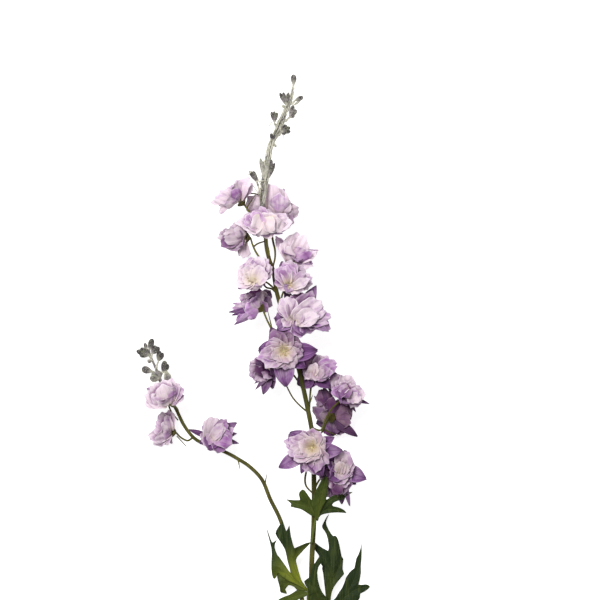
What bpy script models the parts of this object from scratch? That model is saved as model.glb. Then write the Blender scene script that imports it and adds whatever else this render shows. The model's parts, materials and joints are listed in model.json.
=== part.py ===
"""A cut delphinium flower spike, laid on a table.

Lengths are in millimetres and are turned into metres as each mesh is made. Positions are written from the foot of
the stem: x to the right, y along the stem towards the tip, z up from the table. FOOT puts that point in the frame,
whose origin is the middle of the spike's footprint on the table.
"""

import math
import random
from collections import namedtuple

import bpy
from mathutils import Matrix, Vector

MM = 0.001
FOOT = Vector((57.0, -342.5, 0.0))
GAP = 0.3
UP = Vector((0, 0, 1))

# Stem and side branch: points along the middle of each
STEM_ROUTE = (
    (0, 0, 2.8), (-1, 60, 4.0), (-2, 110, 7.5), (0, 160, 13), (1, 200, 18), (3, 240, 24), (3, 280, 29),
    (2, 320, 33), (-4, 355, 36), (-12, 390, 38), (-23, 430, 39), (-33, 465, 39), (-39, 500, 39),
    (-46, 540, 39), (-49, 572, 39),
)
STEM_RADII = (2.9, 1.9)
STEM_SIDES = 7
BRANCH_ROUTE = (
    (-2, 104, 7), (-6, 138, 12), (-11, 170, 13.5), (-19, 200, 14), (-30, 237, 14), (-41, 260, 13.5),
    (-49, 279, 13), (-61, 292, 12.5), (-73, 300, 12), (-86, 307, 12), (-101, 313, 12), (-116, 320, 12),
    (-127, 333, 12), (-135, 349, 12), (-141, 360, 12), (-147, 370, 12),
)
BRANCH_RADII = (2.3, 1.6)
BRANCH_SIDES = 6

# Flower stalks, each swelling into a calyx under its bloom
STALK_RADIUS = 0.95
STALK_SIDES = 5
STALK_SPANS = 4
STALK_CLIMB = 0.35
STALK_LEAN = 0.15
STALK_STRAIGHT = 0.40
CALYX_RADIUS = 2.6
CALYX_SHOULDER_RADIUS = 2.2
CALYX_LENGTH = 5.0

# Felted tips with their buds
SPIKE_TIP_ROUTE = ((-49, 572, 39), (-48.5, 586, 39), (-40, 614, 40), (-33, 629, 41), (-27.5, 642, 42),
                   (-20.5, 660, 43), (-17.5, 676, 44))
SPIKE_TIP_RADII = (2.4, 3.0, 3.1, 2.9, 2.5, 1.6, 1.0)
BRANCH_TIP_ROUTE = ((-147, 370, 12), (-153, 384, 11.5), (-158, 396, 11), (-162, 406, 11), (-163, 413, 11))
BRANCH_TIP_RADII = (1.6, 1.5, 1.3, 1.0, 0.7)
TIP_SIDES = 6
BUD_SIDES = 5
BUD_STALK_RADIUS = 0.9
BUD_SHAPE = ((0.0, 0.45), (0.38, 1.0), (0.82, 0.72))

# Petals and leaves
PETAL_THICKNESS = 0.8
LEAF_THICKNESS = 0.9
NOTCH = 0.16
HUB_RADIUS = 1.8
CORE_SIDES = 4
SEPAL_CORE = ((0.0, 2.6), (2.5, 1.4))
PETAL_CORE = ((2.8, 1.4), (5.0, 1.4))
ROUND_WIDEST = 0.68
ROUND_REACH = 0.72
ROUND_END = 0.16
POINTED_BULGE = 0.85
POINTED_FULLNESS = 0.8
ROOM_AT_ROOT = 0.66
ROOM_AT_TIP = 0.60
CLOSED_RISE = math.radians(52)
SHARE_OF_RISE_AT_ROOT = 0.45
TABLE_BEND = 3.0

# One whorl of a double bloom: lengths, widths and waves in shares of the bloom's own lengths, angles in degrees
# above the bloom's face at a petal's root and tip, and how many places each row across the petal has
Whorl = namedtuple("Whorl", "count length half_width start end height turn rows pointed lift ruffle")
SEPALS = Whorl(5, 1.00, 0.50, 30, -6, 1.2, 0, ((0.42, 3), (0.76, 3), (1.0, 1)), True, 0.0, 0.02)
OUTER_PETALS = Whorl(5, 1.00, 0.50, 46, -4, 4.0, 36, ((0.42, 3), (0.80, 5), (1.0, 3)), False, 0.05, 0.05)
INNER_PETALS = Whorl(5, 0.64, 0.36, 68, 26, 5.2, 10, ((0.55, 3), (1.0, 3)), False, 0.04, 0.03)

# Each bloom: the foot of its calyx, the way it faces, the lengths of its petals and of its sepals, how far it is
# open from 0 to 1, its turn about its own axis in degrees, and how far along the stem or branch its stalk leaves
Bloom = namedtuple("Bloom", "name base facing petals sepals open turn parent leaves")
BLOOMS = (
    Bloom("01", (-70, 558, 42), (-0.72, 0.64, 0.25), 24, 22, 0.60, 10, "stem", 545),
    Bloom("02", (-36, 546, 22), (0.20, 0.75, -0.60), 27, 25, 0.75, 36, "stem", 520),
    Bloom("03", (-45, 525, 53), (0.00, 0.82, 0.57), 27, 24, 0.85, 30, "stem", 500),
    Bloom("04", (-65, 522, 43), (-0.92, 0.05, 0.38), 23, 20, 0.30, 50, "stem", 488),
    Bloom("05", (-20, 502, 42), (0.35, 0.85, 0.38), 24, 22, 0.75, 56, "stem", 480),
    Bloom("06", (-55, 483, 52), (-0.28, 0.18, 0.94), 21, 20, 0.80, 0, "stem", 462),
    Bloom("07", (-21, 479, 56), (0.20, 0.28, 0.94), 21, 20, 0.75, 40, "stem", 455),
    Bloom("08", (-51, 452, 33), (-0.66, 0.62, -0.25), 23, 25, 0.75, 40, "stem", 428),
    Bloom("09", (-12, 441, 58), (0.12, 0.50, 0.86), 27, 31, 0.85, 25, "stem", 415),
    Bloom("10", (-28, 406, 55), (0.00, 0.12, 0.99), 24, 32, 1.00, 54, "stem", 385),
    Bloom("11", (-39, 389, 31), (-0.62, -0.50, 0.40), 21, 25, 0.65, 10, "stem", 362),
    Bloom("12", (3, 384, 36), (0.20, 0.55, 0.81), 21, 25, 0.75, 24, "stem", 345),
    Bloom("13", (32, 362, 30), (0.55, 0.60, 0.58), 22, 24, 0.75, 18, "stem", 332),
    Bloom("14", (20, 342, 22), (0.45, -0.08, -0.88), 24, 26, 0.75, 35, "stem", 318),
    Bloom("15", (-1, 309, 54), (-0.08, 0.22, 0.97), 24, 34, 0.95, 12, "stem", 285),
    Bloom("16", (27, 291, 38), (0.55, 0.10, 0.83), 22, 28, 0.75, 45, "stem", 268),
    Bloom("17", (-143, 359, 33), (-0.45, 0.78, 0.42), 21, 18, 0.50, 0, "branch", 345),
    Bloom("18", (-140, 327, 8), (-0.88, 0.16, 0.44), 20, 17, 0.40, 30, "branch", 322),
    Bloom("19", (-101, 320, 18), (0.32, 0.62, 0.72), 21, 24, 0.75, 20, "branch", 312),
)

# Buds: where each leaves its tip (0 to 1 along it), the way it points, its stalk, its length and its width
Bud = namedtuple("Bud", "along points stalk length width")
SPIKE_BUDS = (
    Bud(0.98, (0.05, 1.0, 0.1), 2, 9, 6.0),
    Bud(0.80, (-0.35, 0.90, 0.25), 4, 9, 5.0),
    Bud(0.77, (-0.62, 0.76, -0.15), 6, 10, 5.0),
    Bud(0.76, (0.80, 0.62, 0.1), 6, 9, 5.5),
    Bud(0.66, (0.62, 0.55, 0.55), 3, 10, 7.0),
    Bud(0.58, (-0.62, 0.72, 0.25), 4, 10, 6.5),
    Bud(0.47, (0.80, 0.45, 0.35), 3, 9, 7.0),
    Bud(0.52, (0.10, 0.50, -0.85), 3, 9, 6.5),
    Bud(0.38, (-0.45, 0.55, 0.72), 2, 9, 7.5),
    Bud(0.20, (0.60, 0.78, 0.25), 3, 12, 7.0),
    Bud(0.18, (-0.30, 0.92, 0.3), 4, 10, 5.0),
    Bud(0.05, (-0.66, 0.74, 0.1), 8, 12, 7.0),
    Bud(0.12, (0.15, 0.75, -0.7), 4, 10, 6.0),
)
BRANCH_BUDS = (
    Bud(0.97, (0.40, 0.88, 0.1), 3, 8, 6.5),
    Bud(0.88, (-0.62, 0.72, 0.2), 4, 6, 4.5),
    Bud(0.76, (-0.92, 0.38, 0.1), 4, 10, 8.0),
    Bud(0.72, (0.52, 0.82, 0.2), 5, 8, 6.5),
    Bud(0.50, (0.40, 0.88, 0.3), 7, 9, 6.5),
    Bud(0.34, (0.62, 0.78, -0.1), 9, 10, 7.5),
    Bud(0.36, (-0.95, 0.15, 0.3), 5, 10, 8.0),
    Bud(0.22, (-0.25, 0.55, 0.8), 3, 8, 7.0),
    Bud(0.06, (0.78, 0.60, -0.1), 8, 9, 7.0),
)

# Bracts, thin green points: what each grows on (the stem, the branch or a bloom's stalk), where (0 to 1 along it)
# and its tip
Bract = namedtuple("Bract", "on along tip")
BRACT_RADIUS = 0.8
BRACTS = (
    Bract("01", 0.85, (-55, 566, 41)),
    Bract("08", 0.45, (-44, 452, 31)),
    Bract("12", 0.30, (2, 366, 40)),
    Bract("14", 0.55, (28, 323, 20)),
    Bract("18", 0.35, (-126, 313, 10)),
    Bract("branch", 0.55, (-44, 287, 17)),
    Bract("branch", 0.67, (-71, 288, 14)),
)

# Cut leaves. A lobe starts at the leaf's base, or along another lobe of the same leaf, and its rib runs past a bend
# to its tip. Its rows give its half width to the left and right of the rib, seen from its root, along it. Where a
# rib would dip below the table, the lobe lies flat on it.
Lobe = namedtuple("Lobe", "grows_on along bend tip rows")
LOBE_ROOT_WIDTH = 1.6
UPPER_LEAF_BASE = (5, 241, 28)
UPPER_LEAF = (
    Lobe(None, 0, (-10, 253, 34), (-25, 260, 31), ((0.35, 4, 5.5), (0.66, 4, 4.5), (0.85, 3.4, 1.5))),
    Lobe(None, 0, (0, 258, 34), (-8, 270, 37), ((0.40, 4, 3), (0.72, 4.5, 3), (0.92, 2.6, 2.2))),
    Lobe(None, 0, (11, 262, 36), (17, 284, 46), ((0.30, 5, 5), (0.60, 6.2, 6.2), (0.84, 4, 4.2))),
    Lobe(None, 0, (22, 257, 32), (42, 268, 29), ((0.30, 4, 3.5), (0.60, 3.6, 4), (0.80, 2, 1.6))),
    Lobe(None, 0, (22, 250, 29), (36, 246, 24), ((0.30, 4, 2.5), (0.62, 3.6, 3), (0.84, 2.2, 2))),
)
UPPER_LEAF_STALK = ((0.5, 216, 24.9), (2.5, 229, 26.8), (5, 243, 28.2))
LEFT_LEAF_BASE = (-3.4, 169, 17.6)
LEFT_LEAF = (
    Lobe(None, 0, (-17, 202, 22), (-30, 236, 19), ((0.25, 3, 3), (0.55, 5, 4), (0.76, 8, 4), (0.90, 2.5, 7))),
    Lobe(0, 0.36, (-12, 207, 17), (-4, 215, 12), ((0.35, 3.5, 3), (0.72, 3, 2.2))),
    Lobe(None, 0, (-32, 188, 19), (-44, 230, 5), ((0.25, 4, 4), (0.50, 8, 6), (0.68, 7, 5), (0.84, 3, 4.5))),
    Lobe(2, 0.40, (-29, 178, 9), (-26, 164, 4), ((0.40, 5, 4.5), (0.80, 3, 4.5))),
    Lobe(None, 0, (-20, 164, 19), (-36, 152, 4), ((0.30, 4, 4), (0.60, 6, 6), (0.84, 4, 3))),
)
LEFT_LEAF_STALK = ((-3.3, 150, 15.1), (-3.2, 160, 16.2), (-3.4, 171, 17.6))
RIGHT_LEAF_BASE = (17, 145, 7)
RIGHT_LEAF = (
    Lobe(None, 0, (2, 172, 20), (8, 202, 25), ((0.25, 5, 4), (0.50, 8, 5), (0.72, 7, 5), (0.90, 3, 3))),
    Lobe(None, 0, (24, 190, 13), (18, 244, 6),
         ((0.20, 4, 5), (0.42, 6, 11), (0.70, 4.5, 8.5), (0.76, 3.5, 4), (0.88, 3, 2))),
    Lobe(1, 0.55, (12, 206, 9), (4, 216, 7), ((0.40, 3.5, 3), (0.78, 2.4, 2))),
    Lobe(None, 0, (36, 168, -8), (51, 213, 0.45), ((0.25, 5, 5), (0.50, 7, 8), (0.70, 6, 6), (0.86, 4, 3))),
    Lobe(3, 0.24, (45, 174, 2), (59, 171, 2.5), ((0.45, 4, 4), (0.78, 3.5, 3))),
)
RIGHT_LEAF_STALK = ((2.5, 110, 7.4), (9, 127, 7), (18, 147, 7))
LEAF_STALK_RADIUS = 1.2

SEPAL_COLOUR = (0.33, 0.16, 0.52)
PETAL_COLOUR = (0.72, 0.56, 0.76)
STEM_COLOUR = (0.11, 0.16, 0.03)
FELT_COLOUR = (0.34, 0.34, 0.30)
LEAF_COLOUR = (0.05, 0.11, 0.03)


def clear_scene():
    for found in list(bpy.data.objects):
        bpy.data.objects.remove(found)


def material(name, colour, roughness):
    made = bpy.data.materials.new(name)
    made.use_nodes = True
    shader = made.node_tree.nodes["Principled BSDF"]
    shader.inputs["Base Color"].default_value = (*colour, 1.0)
    shader.inputs["Roughness"].default_value = roughness
    shader.inputs["Metallic"].default_value = 0.0
    return made


def mesh_object(name, points, faces, origin=Vector()):
    """A mesh object from points in millimetres, written from the foot of the stem, with its own origin."""
    mesh = bpy.data.meshes.new(name)
    mesh.from_pydata([(point - origin) * MM for point in points], [], faces)
    made = bpy.data.objects.new(name, mesh)
    bpy.context.scene.collection.objects.link(made)
    made.location = (FOOT + origin) * MM
    return made


def union(name, pieces, finish):
    """Joins the pieces into one solid with this name, at the first one's place."""
    body, rest = pieces[0], pieces[1:]
    group = bpy.data.collections.new(name + "_pieces")
    bpy.context.scene.collection.children.link(group)
    for piece in rest:
        bpy.context.scene.collection.objects.unlink(piece)
        group.objects.link(piece)
    join = body.modifiers.new("join", "BOOLEAN")
    join.operation = "UNION"
    join.solver = "EXACT"
    join.operand_type = "COLLECTION"
    join.collection = group
    graph = bpy.context.evaluated_depsgraph_get()
    joined = bpy.data.meshes.new_from_object(body.evaluated_get(graph))
    body.modifiers.clear()
    body.data = joined
    for piece in rest:
        bpy.data.objects.remove(piece)
    bpy.data.collections.remove(group)
    body.name = name
    joined.name = name
    joined.materials.clear()
    joined.materials.append(finish)
    return body


def curve_point(route, share):
    """The point that lies share of the way along a route, by length."""
    route = [Vector(p) for p in route]
    spans = [(b - a).length for a, b in zip(route, route[1:])]
    left = share * sum(spans)
    for a, b, span in zip(route, route[1:], spans):
        if left <= span:
            return a.lerp(b, left / span)
        left -= span
    return route[-1]


def tube(name, route, radii, sides):
    """A rod along a route. It closes in a point where its last radius is 0, and else in a flat end."""
    route = [Vector(p) for p in route]
    pointed = radii[-1] == 0
    rings = len(route) - 1 if pointed else len(route)
    across = (route[1] - route[0]).orthogonal().normalized()
    points, faces = [], []
    for index in range(rings):
        before = route[max(index - 1, 0)]
        after = route[min(index + 1, len(route) - 1)]
        along = (after - before).normalized()
        across = (across - along * across.dot(along)).normalized()
        beside = along.cross(across)
        for side in range(sides):
            turn = 2 * math.pi * side / sides
            points.append(route[index] + (across * math.cos(turn) + beside * math.sin(turn)) * radii[index])
    for start in range(0, (rings - 1) * sides, sides):
        for side in range(sides):
            a, b = start + side, start + (side + 1) % sides
            faces += [(a, b, b + sides), (a, b + sides, a + sides)]
    faces.append(tuple(reversed(range(sides))))
    last = (rings - 1) * sides
    if pointed:
        points.append(route[-1])
        faces += [(last + side, last + (side + 1) % sides, len(points) - 1) for side in range(sides)]
    else:
        faces.append(tuple(range(last, last + sides)))
    return mesh_object(name, points, faces)


def row_sides(count):
    """Places across a row, from -1 at its left edge to 1 at its right edge."""
    return [0.0] if count == 1 else [2 * index / (count - 1) - 1 for index in range(count)]


def row_faces(here, there):
    """Triangles between two rows of point numbers, each point joined to the nearest ones across."""
    sides_here, sides_there = row_sides(len(here)), row_sides(len(there))
    faces = []
    a, b = 0, 0
    while a < len(here) - 1 or b < len(there) - 1:
        next_here = sides_here[a + 1] if a < len(here) - 1 else math.inf
        next_there = sides_there[b + 1] if b < len(there) - 1 else math.inf
        if next_there <= next_here:
            faces.append((here[a], there[b], there[b + 1]))
            b += 1
        else:
            faces.append((here[a], there[b], here[a + 1]))
            a += 1
    return faces


def closed_sheet(name, places, face, thickness, origin=Vector()):
    """A thin closed sheet, split alike on both faces, from (point, normal) places and the triangles of one face."""
    count = len(places)
    tops = [point + normal.normalized() * (thickness / 2) for point, normal in places]
    bottoms = [point - normal.normalized() * (thickness / 2) for point, normal in places]
    edges = [edge for a, b, c in face for edge in ((a, b), (b, c), (c, a))]
    inside = {(b, a) for a, b in edges}
    faces = face + [tuple(corner + count for corner in reversed(corners)) for corners in face]
    for a, b in edges:
        if (a, b) not in inside:
            faces += [(a, a + count, b + count), (a, b + count, b)]
    return mesh_object(name, tops + bottoms, faces, origin)


def facing_matrix(bloom):
    """Own axes at the foot of a bloom's calyx, with +Z the way it faces."""
    placed = Vector(bloom.facing).to_track_quat("Z", "Y").to_matrix().to_4x4()
    placed = placed @ Matrix.Rotation(math.radians(bloom.turn), 4, "Z")
    placed.translation = Vector(bloom.base)
    return placed


def turned_core(profile, placed):
    """A small closed turned body that the petals of a bloom grow from."""
    origin = placed.translation
    points, faces = [], []
    for height, radius in profile:
        for side in range(CORE_SIDES):
            turn = 2 * math.pi * side / CORE_SIDES
            points.append(placed @ Vector((radius * math.cos(turn), radius * math.sin(turn), height)))
    for start in range(0, (len(profile) - 1) * CORE_SIDES, CORE_SIDES):
        for side in range(CORE_SIDES):
            a, b = start + side, start + (side + 1) % CORE_SIDES
            faces += [(a, b, b + CORE_SIDES), (a, b + CORE_SIDES, a + CORE_SIDES)]
    faces.append(tuple(reversed(range(CORE_SIDES))))
    faces.append(tuple(range(len(points) - CORE_SIDES, len(points))))
    return mesh_object("core", points, faces, origin)


def above_table(point, normal, thickness):
    """A place of a thin sheet, bent so that the sheet stays above the table where it would go through it."""
    depth = point.z - thickness / 2 - TABLE_BEND
    if depth >= 0.0:
        return point, normal
    squeeze = math.exp(depth / TABLE_BEND)
    bent = Vector((point.x, point.y, thickness / 2 + TABLE_BEND * squeeze))
    return bent, Vector((normal.x, normal.y, normal.z / squeeze))


def petal_half_width(whorl, share):
    """Half a petal's width at a share of its length, as a share of its widest."""
    if whorl.pointed:
        return max(0.0, math.sin(math.pi * share ** POINTED_BULGE)) ** POINTED_FULLNESS
    return math.sqrt(max(0.0, 1 - ((share - ROUND_WIDEST) / ROUND_REACH) ** 2))


def petal_place(bloom, whorl, turn, share, side, draw):
    """A point of a petal's middle surface, with its normal, in the bloom's own axes."""
    closing = (1 - bloom.open) * CLOSED_RISE
    start = math.radians(whorl.start) + SHARE_OF_RISE_AT_ROOT * closing
    end = math.radians(whorl.end) + closing
    size = bloom.sepals if whorl is SEPALS else bloom.petals
    length = whorl.length * size
    if not whorl.pointed:
        share *= 1 - ROUND_END * side ** 2 * share ** 2
    angle = start + (end - start) * share
    radius = HUB_RADIUS * min(share / NOTCH, 1.0) + length * (math.sin(angle) - math.sin(start)) / (end - start)
    height = whorl.height + length * (math.cos(start) - math.cos(angle)) / (end - start)
    room = math.pi / whorl.count * (ROOM_AT_ROOT + ROOM_AT_TIP * share)
    spread = min(whorl.half_width * size * petal_half_width(whorl, share) / max(radius, 1.0), room)
    about = turn + math.radians(whorl.turn) + side * spread
    outward = Vector((math.cos(about), math.sin(about), 0))
    normal = UP * math.cos(angle) - outward * math.sin(angle) if share else UP
    wave = size * share * (whorl.lift * side + whorl.ruffle * draw * math.cos(2 * math.pi * side))
    return outward * radius + UP * height + normal * wave, normal


def whorl_sheet(bloom, whorl, placed, draws):
    """A whorl of petals grown together at its middle: a fan there, and from it each petal's rows."""
    pitch = 2 * math.pi / whorl.count
    spots = [(0, 0.0, 0.0, 0.0)]
    spots += [(number - 0.5, NOTCH, 0.0, 0.0) for number in range(whorl.count)]
    face = []
    for number in range(whorl.count):
        draw = draws.uniform(-1, 1)
        row = [1 + number, 1 + (number + 1) % whorl.count]
        face.append((0, *row))
        for share, count in whorl.rows:
            after = list(range(len(spots), len(spots) + count))
            spots += [(number, share, side, draw) for side in row_sides(count)]
            face += row_faces(row, after)
            row = after
    places = []
    for number, share, side, draw in spots:
        point, normal = petal_place(bloom, whorl, number * pitch, share, side, draw)
        places.append(above_table(placed @ point, placed.to_3x3() @ normal, PETAL_THICKNESS))
    return closed_sheet("whorl", places, face, PETAL_THICKNESS, placed.translation)


def bloom_nodes(bloom, sepal_finish, petal_finish):
    """A bloom's two solids: its outer whorl of pointed sepals and its ruffled petals."""
    placed = facing_matrix(bloom)
    draws = random.Random(int(bloom.name))
    parts = (
        ("sepals", SEPAL_CORE, (SEPALS,), sepal_finish),
        ("petals", PETAL_CORE, (OUTER_PETALS, INNER_PETALS), petal_finish),
    )
    for part, profile, whorls, finish in parts:
        pieces = [turned_core(profile, placed)]
        pieces += [whorl_sheet(bloom, whorl, placed, draws) for whorl in whorls]
        union(f"bloom_{bloom.name}_{part}", pieces, finish)


def point_at_y(route, y):
    """The point of a route that climbs in y, where it has that y."""
    for a, b in zip(route, route[1:]):
        if a[1] <= y <= b[1]:
            return Vector(a).lerp(Vector(b), (y - a[1]) / (b[1] - a[1]))
    return Vector(route[-1])


def stalk_route(bloom):
    """Points of a flower stalk, from inside the stem, arching out to the bloom's calyx."""
    facing = Vector(bloom.facing).normalized()
    base = Vector(bloom.base) - facing * GAP
    root = point_at_y(STEM_ROUTE if bloom.parent == "stem" else BRANCH_ROUTE, bloom.leaves)
    reach = (base - root).length
    calyx_foot = base - facing * CALYX_LENGTH
    leaving = root + Vector((0, STALK_CLIMB * reach, 0)) + (base - root) * STALK_LEAN
    coming = base - facing * max(STALK_STRAIGHT * reach, CALYX_LENGTH)
    points = []
    for span in range(STALK_SPANS):
        t = span / STALK_SPANS
        points.append(
            root * (1 - t) ** 3
            + leaving * 3 * t * (1 - t) ** 2
            + coming * 3 * t ** 2 * (1 - t)
            + calyx_foot * t ** 3
        )
    return [*points, calyx_foot, calyx_foot.lerp(base, 0.5), base]


def stalk(bloom):
    radii = [STALK_RADIUS] * (STALK_SPANS + 1) + [CALYX_SHOULDER_RADIUS, CALYX_RADIUS]
    return tube("stalk", stalk_route(bloom), radii, STALK_SIDES)


def bract(spec):
    routes = {"stem": STEM_ROUTE, "branch": BRANCH_ROUTE}
    route = routes.get(spec.on) or stalk_route(next(bloom for bloom in BLOOMS if bloom.name == spec.on))
    root, tip = curve_point(route, spec.along), Vector(spec.tip)
    return tube("bract", (root, root.lerp(tip, 0.5) + UP, tip), (BRACT_RADIUS, BRACT_RADIUS, 0), 3)


def tapered(route, ends):
    first, last = ends
    return [first + (last - first) * index / (len(route) - 1) for index in range(len(route))]


def stem_node(finish):
    pieces = [
        tube("stem", STEM_ROUTE, tapered(STEM_ROUTE, STEM_RADII), STEM_SIDES),
        tube("branch", BRANCH_ROUTE, tapered(BRANCH_ROUTE, BRANCH_RADII), BRANCH_SIDES),
    ]
    pieces += [stalk(bloom) for bloom in BLOOMS]
    pieces += [bract(spec) for spec in BRACTS]
    return union("stem", pieces, finish)


def bud(spec, route):
    """A closed bud on its short stalk: a rod that swells and closes again."""
    root = curve_point(route, spec.along)
    points = Vector(spec.points).normalized()
    foot = root + points * spec.stalk
    places = [root, *(foot + points * spec.length * share for share, _ in BUD_SHAPE), foot + points * spec.length]
    radii = [BUD_STALK_RADIUS, *(spec.width / 2 * width for _, width in BUD_SHAPE), 0]
    return tube("bud", places, radii, BUD_SIDES)


def tip_node(name, route, radii, buds, finish):
    """The felted tip of a stem with its closed buds. It starts a gap beyond the green stem that carries it."""
    route = [Vector(p) for p in route]
    route[0] += (route[1] - route[0]).normalized() * GAP
    pieces = [tube(name, route, radii, TIP_SIDES)]
    pieces += [bud(spec, route) for spec in buds]
    return union(name, pieces, finish)


def curved(root, bend, tip, share):
    """A point of a rib, which bends evenly from its root to its tip."""
    return root * (1 - share) ** 2 + bend * 2 * share * (1 - share) + tip * share ** 2


def leaf_lobe(root, lobe):
    bend, tip = Vector(lobe.bend), Vector(lobe.tip)
    places, face, row = [], [], None
    for share, left, right in ((0.0, LOBE_ROOT_WIDTH, LOBE_ROOT_WIDTH), *lobe.rows, (1.0, 0, 0)):
        point = curved(root, bend, tip, share)
        point.z = max(point.z, LEAF_THICKNESS / 2)
        along = curved(root, bend, tip, share + 0.01) - curved(root, bend, tip, share - 0.01)
        beside = UP.cross(along).normalized()
        spots = [point + beside * left, point, point - beside * right] if left else [point]
        after = list(range(len(places), len(places) + len(spots)))
        places += [(spot, UP) for spot in spots]
        face += row_faces(row, after) if row else []
        row = after
    return closed_sheet("lobe", places, [corners[::-1] for corners in face], LEAF_THICKNESS)


def leaf_node(name, base, lobes, stalk_points, finish):
    pieces, ribs = [], []
    for lobe in lobes:
        root = Vector(base) if lobe.grows_on is None else curved(*ribs[lobe.grows_on], lobe.along)
        ribs.append((root, Vector(lobe.bend), Vector(lobe.tip)))
        pieces.append(leaf_lobe(root, lobe))
    pieces.append(tube("leaf_stalk", stalk_points, [LEAF_STALK_RADIUS] * len(stalk_points), STALK_SIDES))
    return union(name, pieces, finish)


def main():
    clear_scene()
    sepal_finish = material("sepal_purple", SEPAL_COLOUR, 0.6)
    petal_finish = material("petal_lilac", PETAL_COLOUR, 0.6)
    stem_finish = material("stem_green", STEM_COLOUR, 0.5)
    felt_finish = material("bud_felt", FELT_COLOUR, 0.85)
    leaf_finish = material("leaf_green", LEAF_COLOUR, 0.55)
    stem_node(stem_finish)
    tip_node("spike_tip", SPIKE_TIP_ROUTE, SPIKE_TIP_RADII, SPIKE_BUDS, felt_finish)
    tip_node("branch_tip", BRANCH_TIP_ROUTE, BRANCH_TIP_RADII, BRANCH_BUDS, felt_finish)
    leaf_node("leaf_upper", UPPER_LEAF_BASE, UPPER_LEAF, UPPER_LEAF_STALK, leaf_finish)
    leaf_node("leaf_left", LEFT_LEAF_BASE, LEFT_LEAF, LEFT_LEAF_STALK, leaf_finish)
    leaf_node("leaf_right", RIGHT_LEAF_BASE, RIGHT_LEAF, RIGHT_LEAF_STALK, leaf_finish)
    for bloom in BLOOMS:
        bloom_nodes(bloom, sepal_finish, petal_finish)


main()
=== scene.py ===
"""A cut delphinium flower spike, laid on a pale table.

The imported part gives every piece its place. Lengths are in millimetres and positions are written from the
foot of the stem: x to the right, y along the stem towards the tip, z up from the table. Each mesh is moved
into the part's frame and turned into metres as it is made.
"""

import functools
import json
import math
from collections import namedtuple

import bpy
import numpy as np
from mathutils import Matrix, Vector
from mathutils.geometry import delaunay_2d_cdt

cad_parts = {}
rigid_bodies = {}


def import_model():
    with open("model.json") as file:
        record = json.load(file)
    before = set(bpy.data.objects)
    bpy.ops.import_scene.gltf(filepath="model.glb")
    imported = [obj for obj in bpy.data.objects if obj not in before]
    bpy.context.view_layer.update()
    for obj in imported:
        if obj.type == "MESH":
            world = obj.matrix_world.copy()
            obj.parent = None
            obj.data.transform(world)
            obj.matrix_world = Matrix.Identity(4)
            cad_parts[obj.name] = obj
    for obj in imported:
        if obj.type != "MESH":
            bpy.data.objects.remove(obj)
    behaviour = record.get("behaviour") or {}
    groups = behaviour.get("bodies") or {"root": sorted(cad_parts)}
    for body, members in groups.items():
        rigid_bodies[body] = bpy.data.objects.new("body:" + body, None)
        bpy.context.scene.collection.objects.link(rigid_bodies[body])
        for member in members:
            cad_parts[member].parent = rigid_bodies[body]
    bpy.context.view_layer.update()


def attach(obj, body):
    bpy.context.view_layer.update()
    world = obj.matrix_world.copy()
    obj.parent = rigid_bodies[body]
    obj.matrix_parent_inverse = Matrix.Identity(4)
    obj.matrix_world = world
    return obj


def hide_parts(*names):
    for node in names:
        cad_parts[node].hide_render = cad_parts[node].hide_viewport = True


bl_info = {
    "name": "Delphinium flower spike",
    "version": (1, 0, 0),
    "blender": (4, 5, 0),
    "location": "3D View > Sidebar > Delphinium",
    "description": "Petals, sepals, stamens, leaves, stems and felted buds of a cut delphinium spike",
    "category": "Object",
}

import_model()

# A millimetre in metres, the stem's foot in the part's frame, the pixel that the foot would have in the
# photograph, and the way up from the table
MM = 0.001
FOOT = np.array((57.0, -342.5, 0.0))
PHOTO_FOOT = (311.0, 760.0)
UP = np.array((0.0, 0.0, 1.0))
FULL_TURN = 2 * math.pi
TINY = 1e-9

# Stem and side branch: points along the middle of each, the radii at their two ends, and how brown and how
# young they are at some heights along the plant
Rod = namedtuple("Rod", "route radii brown young")
RODS = {
    "stem": Rod((
        (0, 0, 2.8), (-1, 60, 4.0), (-2, 110, 7.5), (0, 160, 13), (1, 200, 18), (3, 240, 24), (3, 280, 29),
        (2, 320, 33), (-4, 355, 36), (-12, 390, 38), (-23, 430, 39), (-33.5, 465, 39), (-38, 490, 39),
        (-41.5, 500, 39), (-44.3, 512, 39), (-45.5, 525, 39), (-47, 540, 39), (-49, 556, 39), (-49, 572, 39),
    ), (2.9, 1.9), ((400, 450, 560), (0.0, 0.45, 0.45)), ((380, 425), (0.0, 0.5))),
    "branch": Rod((
        (-2, 104, 7), (-6, 138, 12), (-11, 170, 13.5), (-19, 200, 14), (-30, 237, 14), (-41, 260, 13.5),
        (-49, 279, 13), (-61, 292, 12.5), (-73, 300, 12), (-86, 307, 12), (-101, 313, 12), (-116, 320, 12),
        (-127, 333, 12), (-135, 349, 12), (-141, 360, 12), (-147, 370, 12),
    ), (2.3, 1.6), ((104, 370), (-0.2, -0.2)), ((104, 370), (0.2, 0.2))),
}
STEM_SIDES = 20
STEM_RIBS = 5
STEM_RIB_DEPTH = 0.05

# Flower stalks: their radius, how much thicker they leave the stem and over which share of their length, how
# they arch, and how brown they turn towards the bloom
STALK_RADIUS = 0.95
STALK_FOOT = 0.7
STALK_FOOT_SHARE = 0.06
STALK_CLIMB = 0.35
STALK_LEAN = 0.15
STALK_STRAIGHT = 0.40
STALK_SIDES = 12
STALK_POINTS = 15
STALK_RIB_DEPTH = 0.09
STALK_BROWN = 0.25

# How light a stalk is by how far up the plant its bloom sits, and how much that takes from its brown
STALK_YOUNG = ((340, 480), (0.35, 1.0))
YOUNG_LESS_BROWN = 0.45

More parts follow.
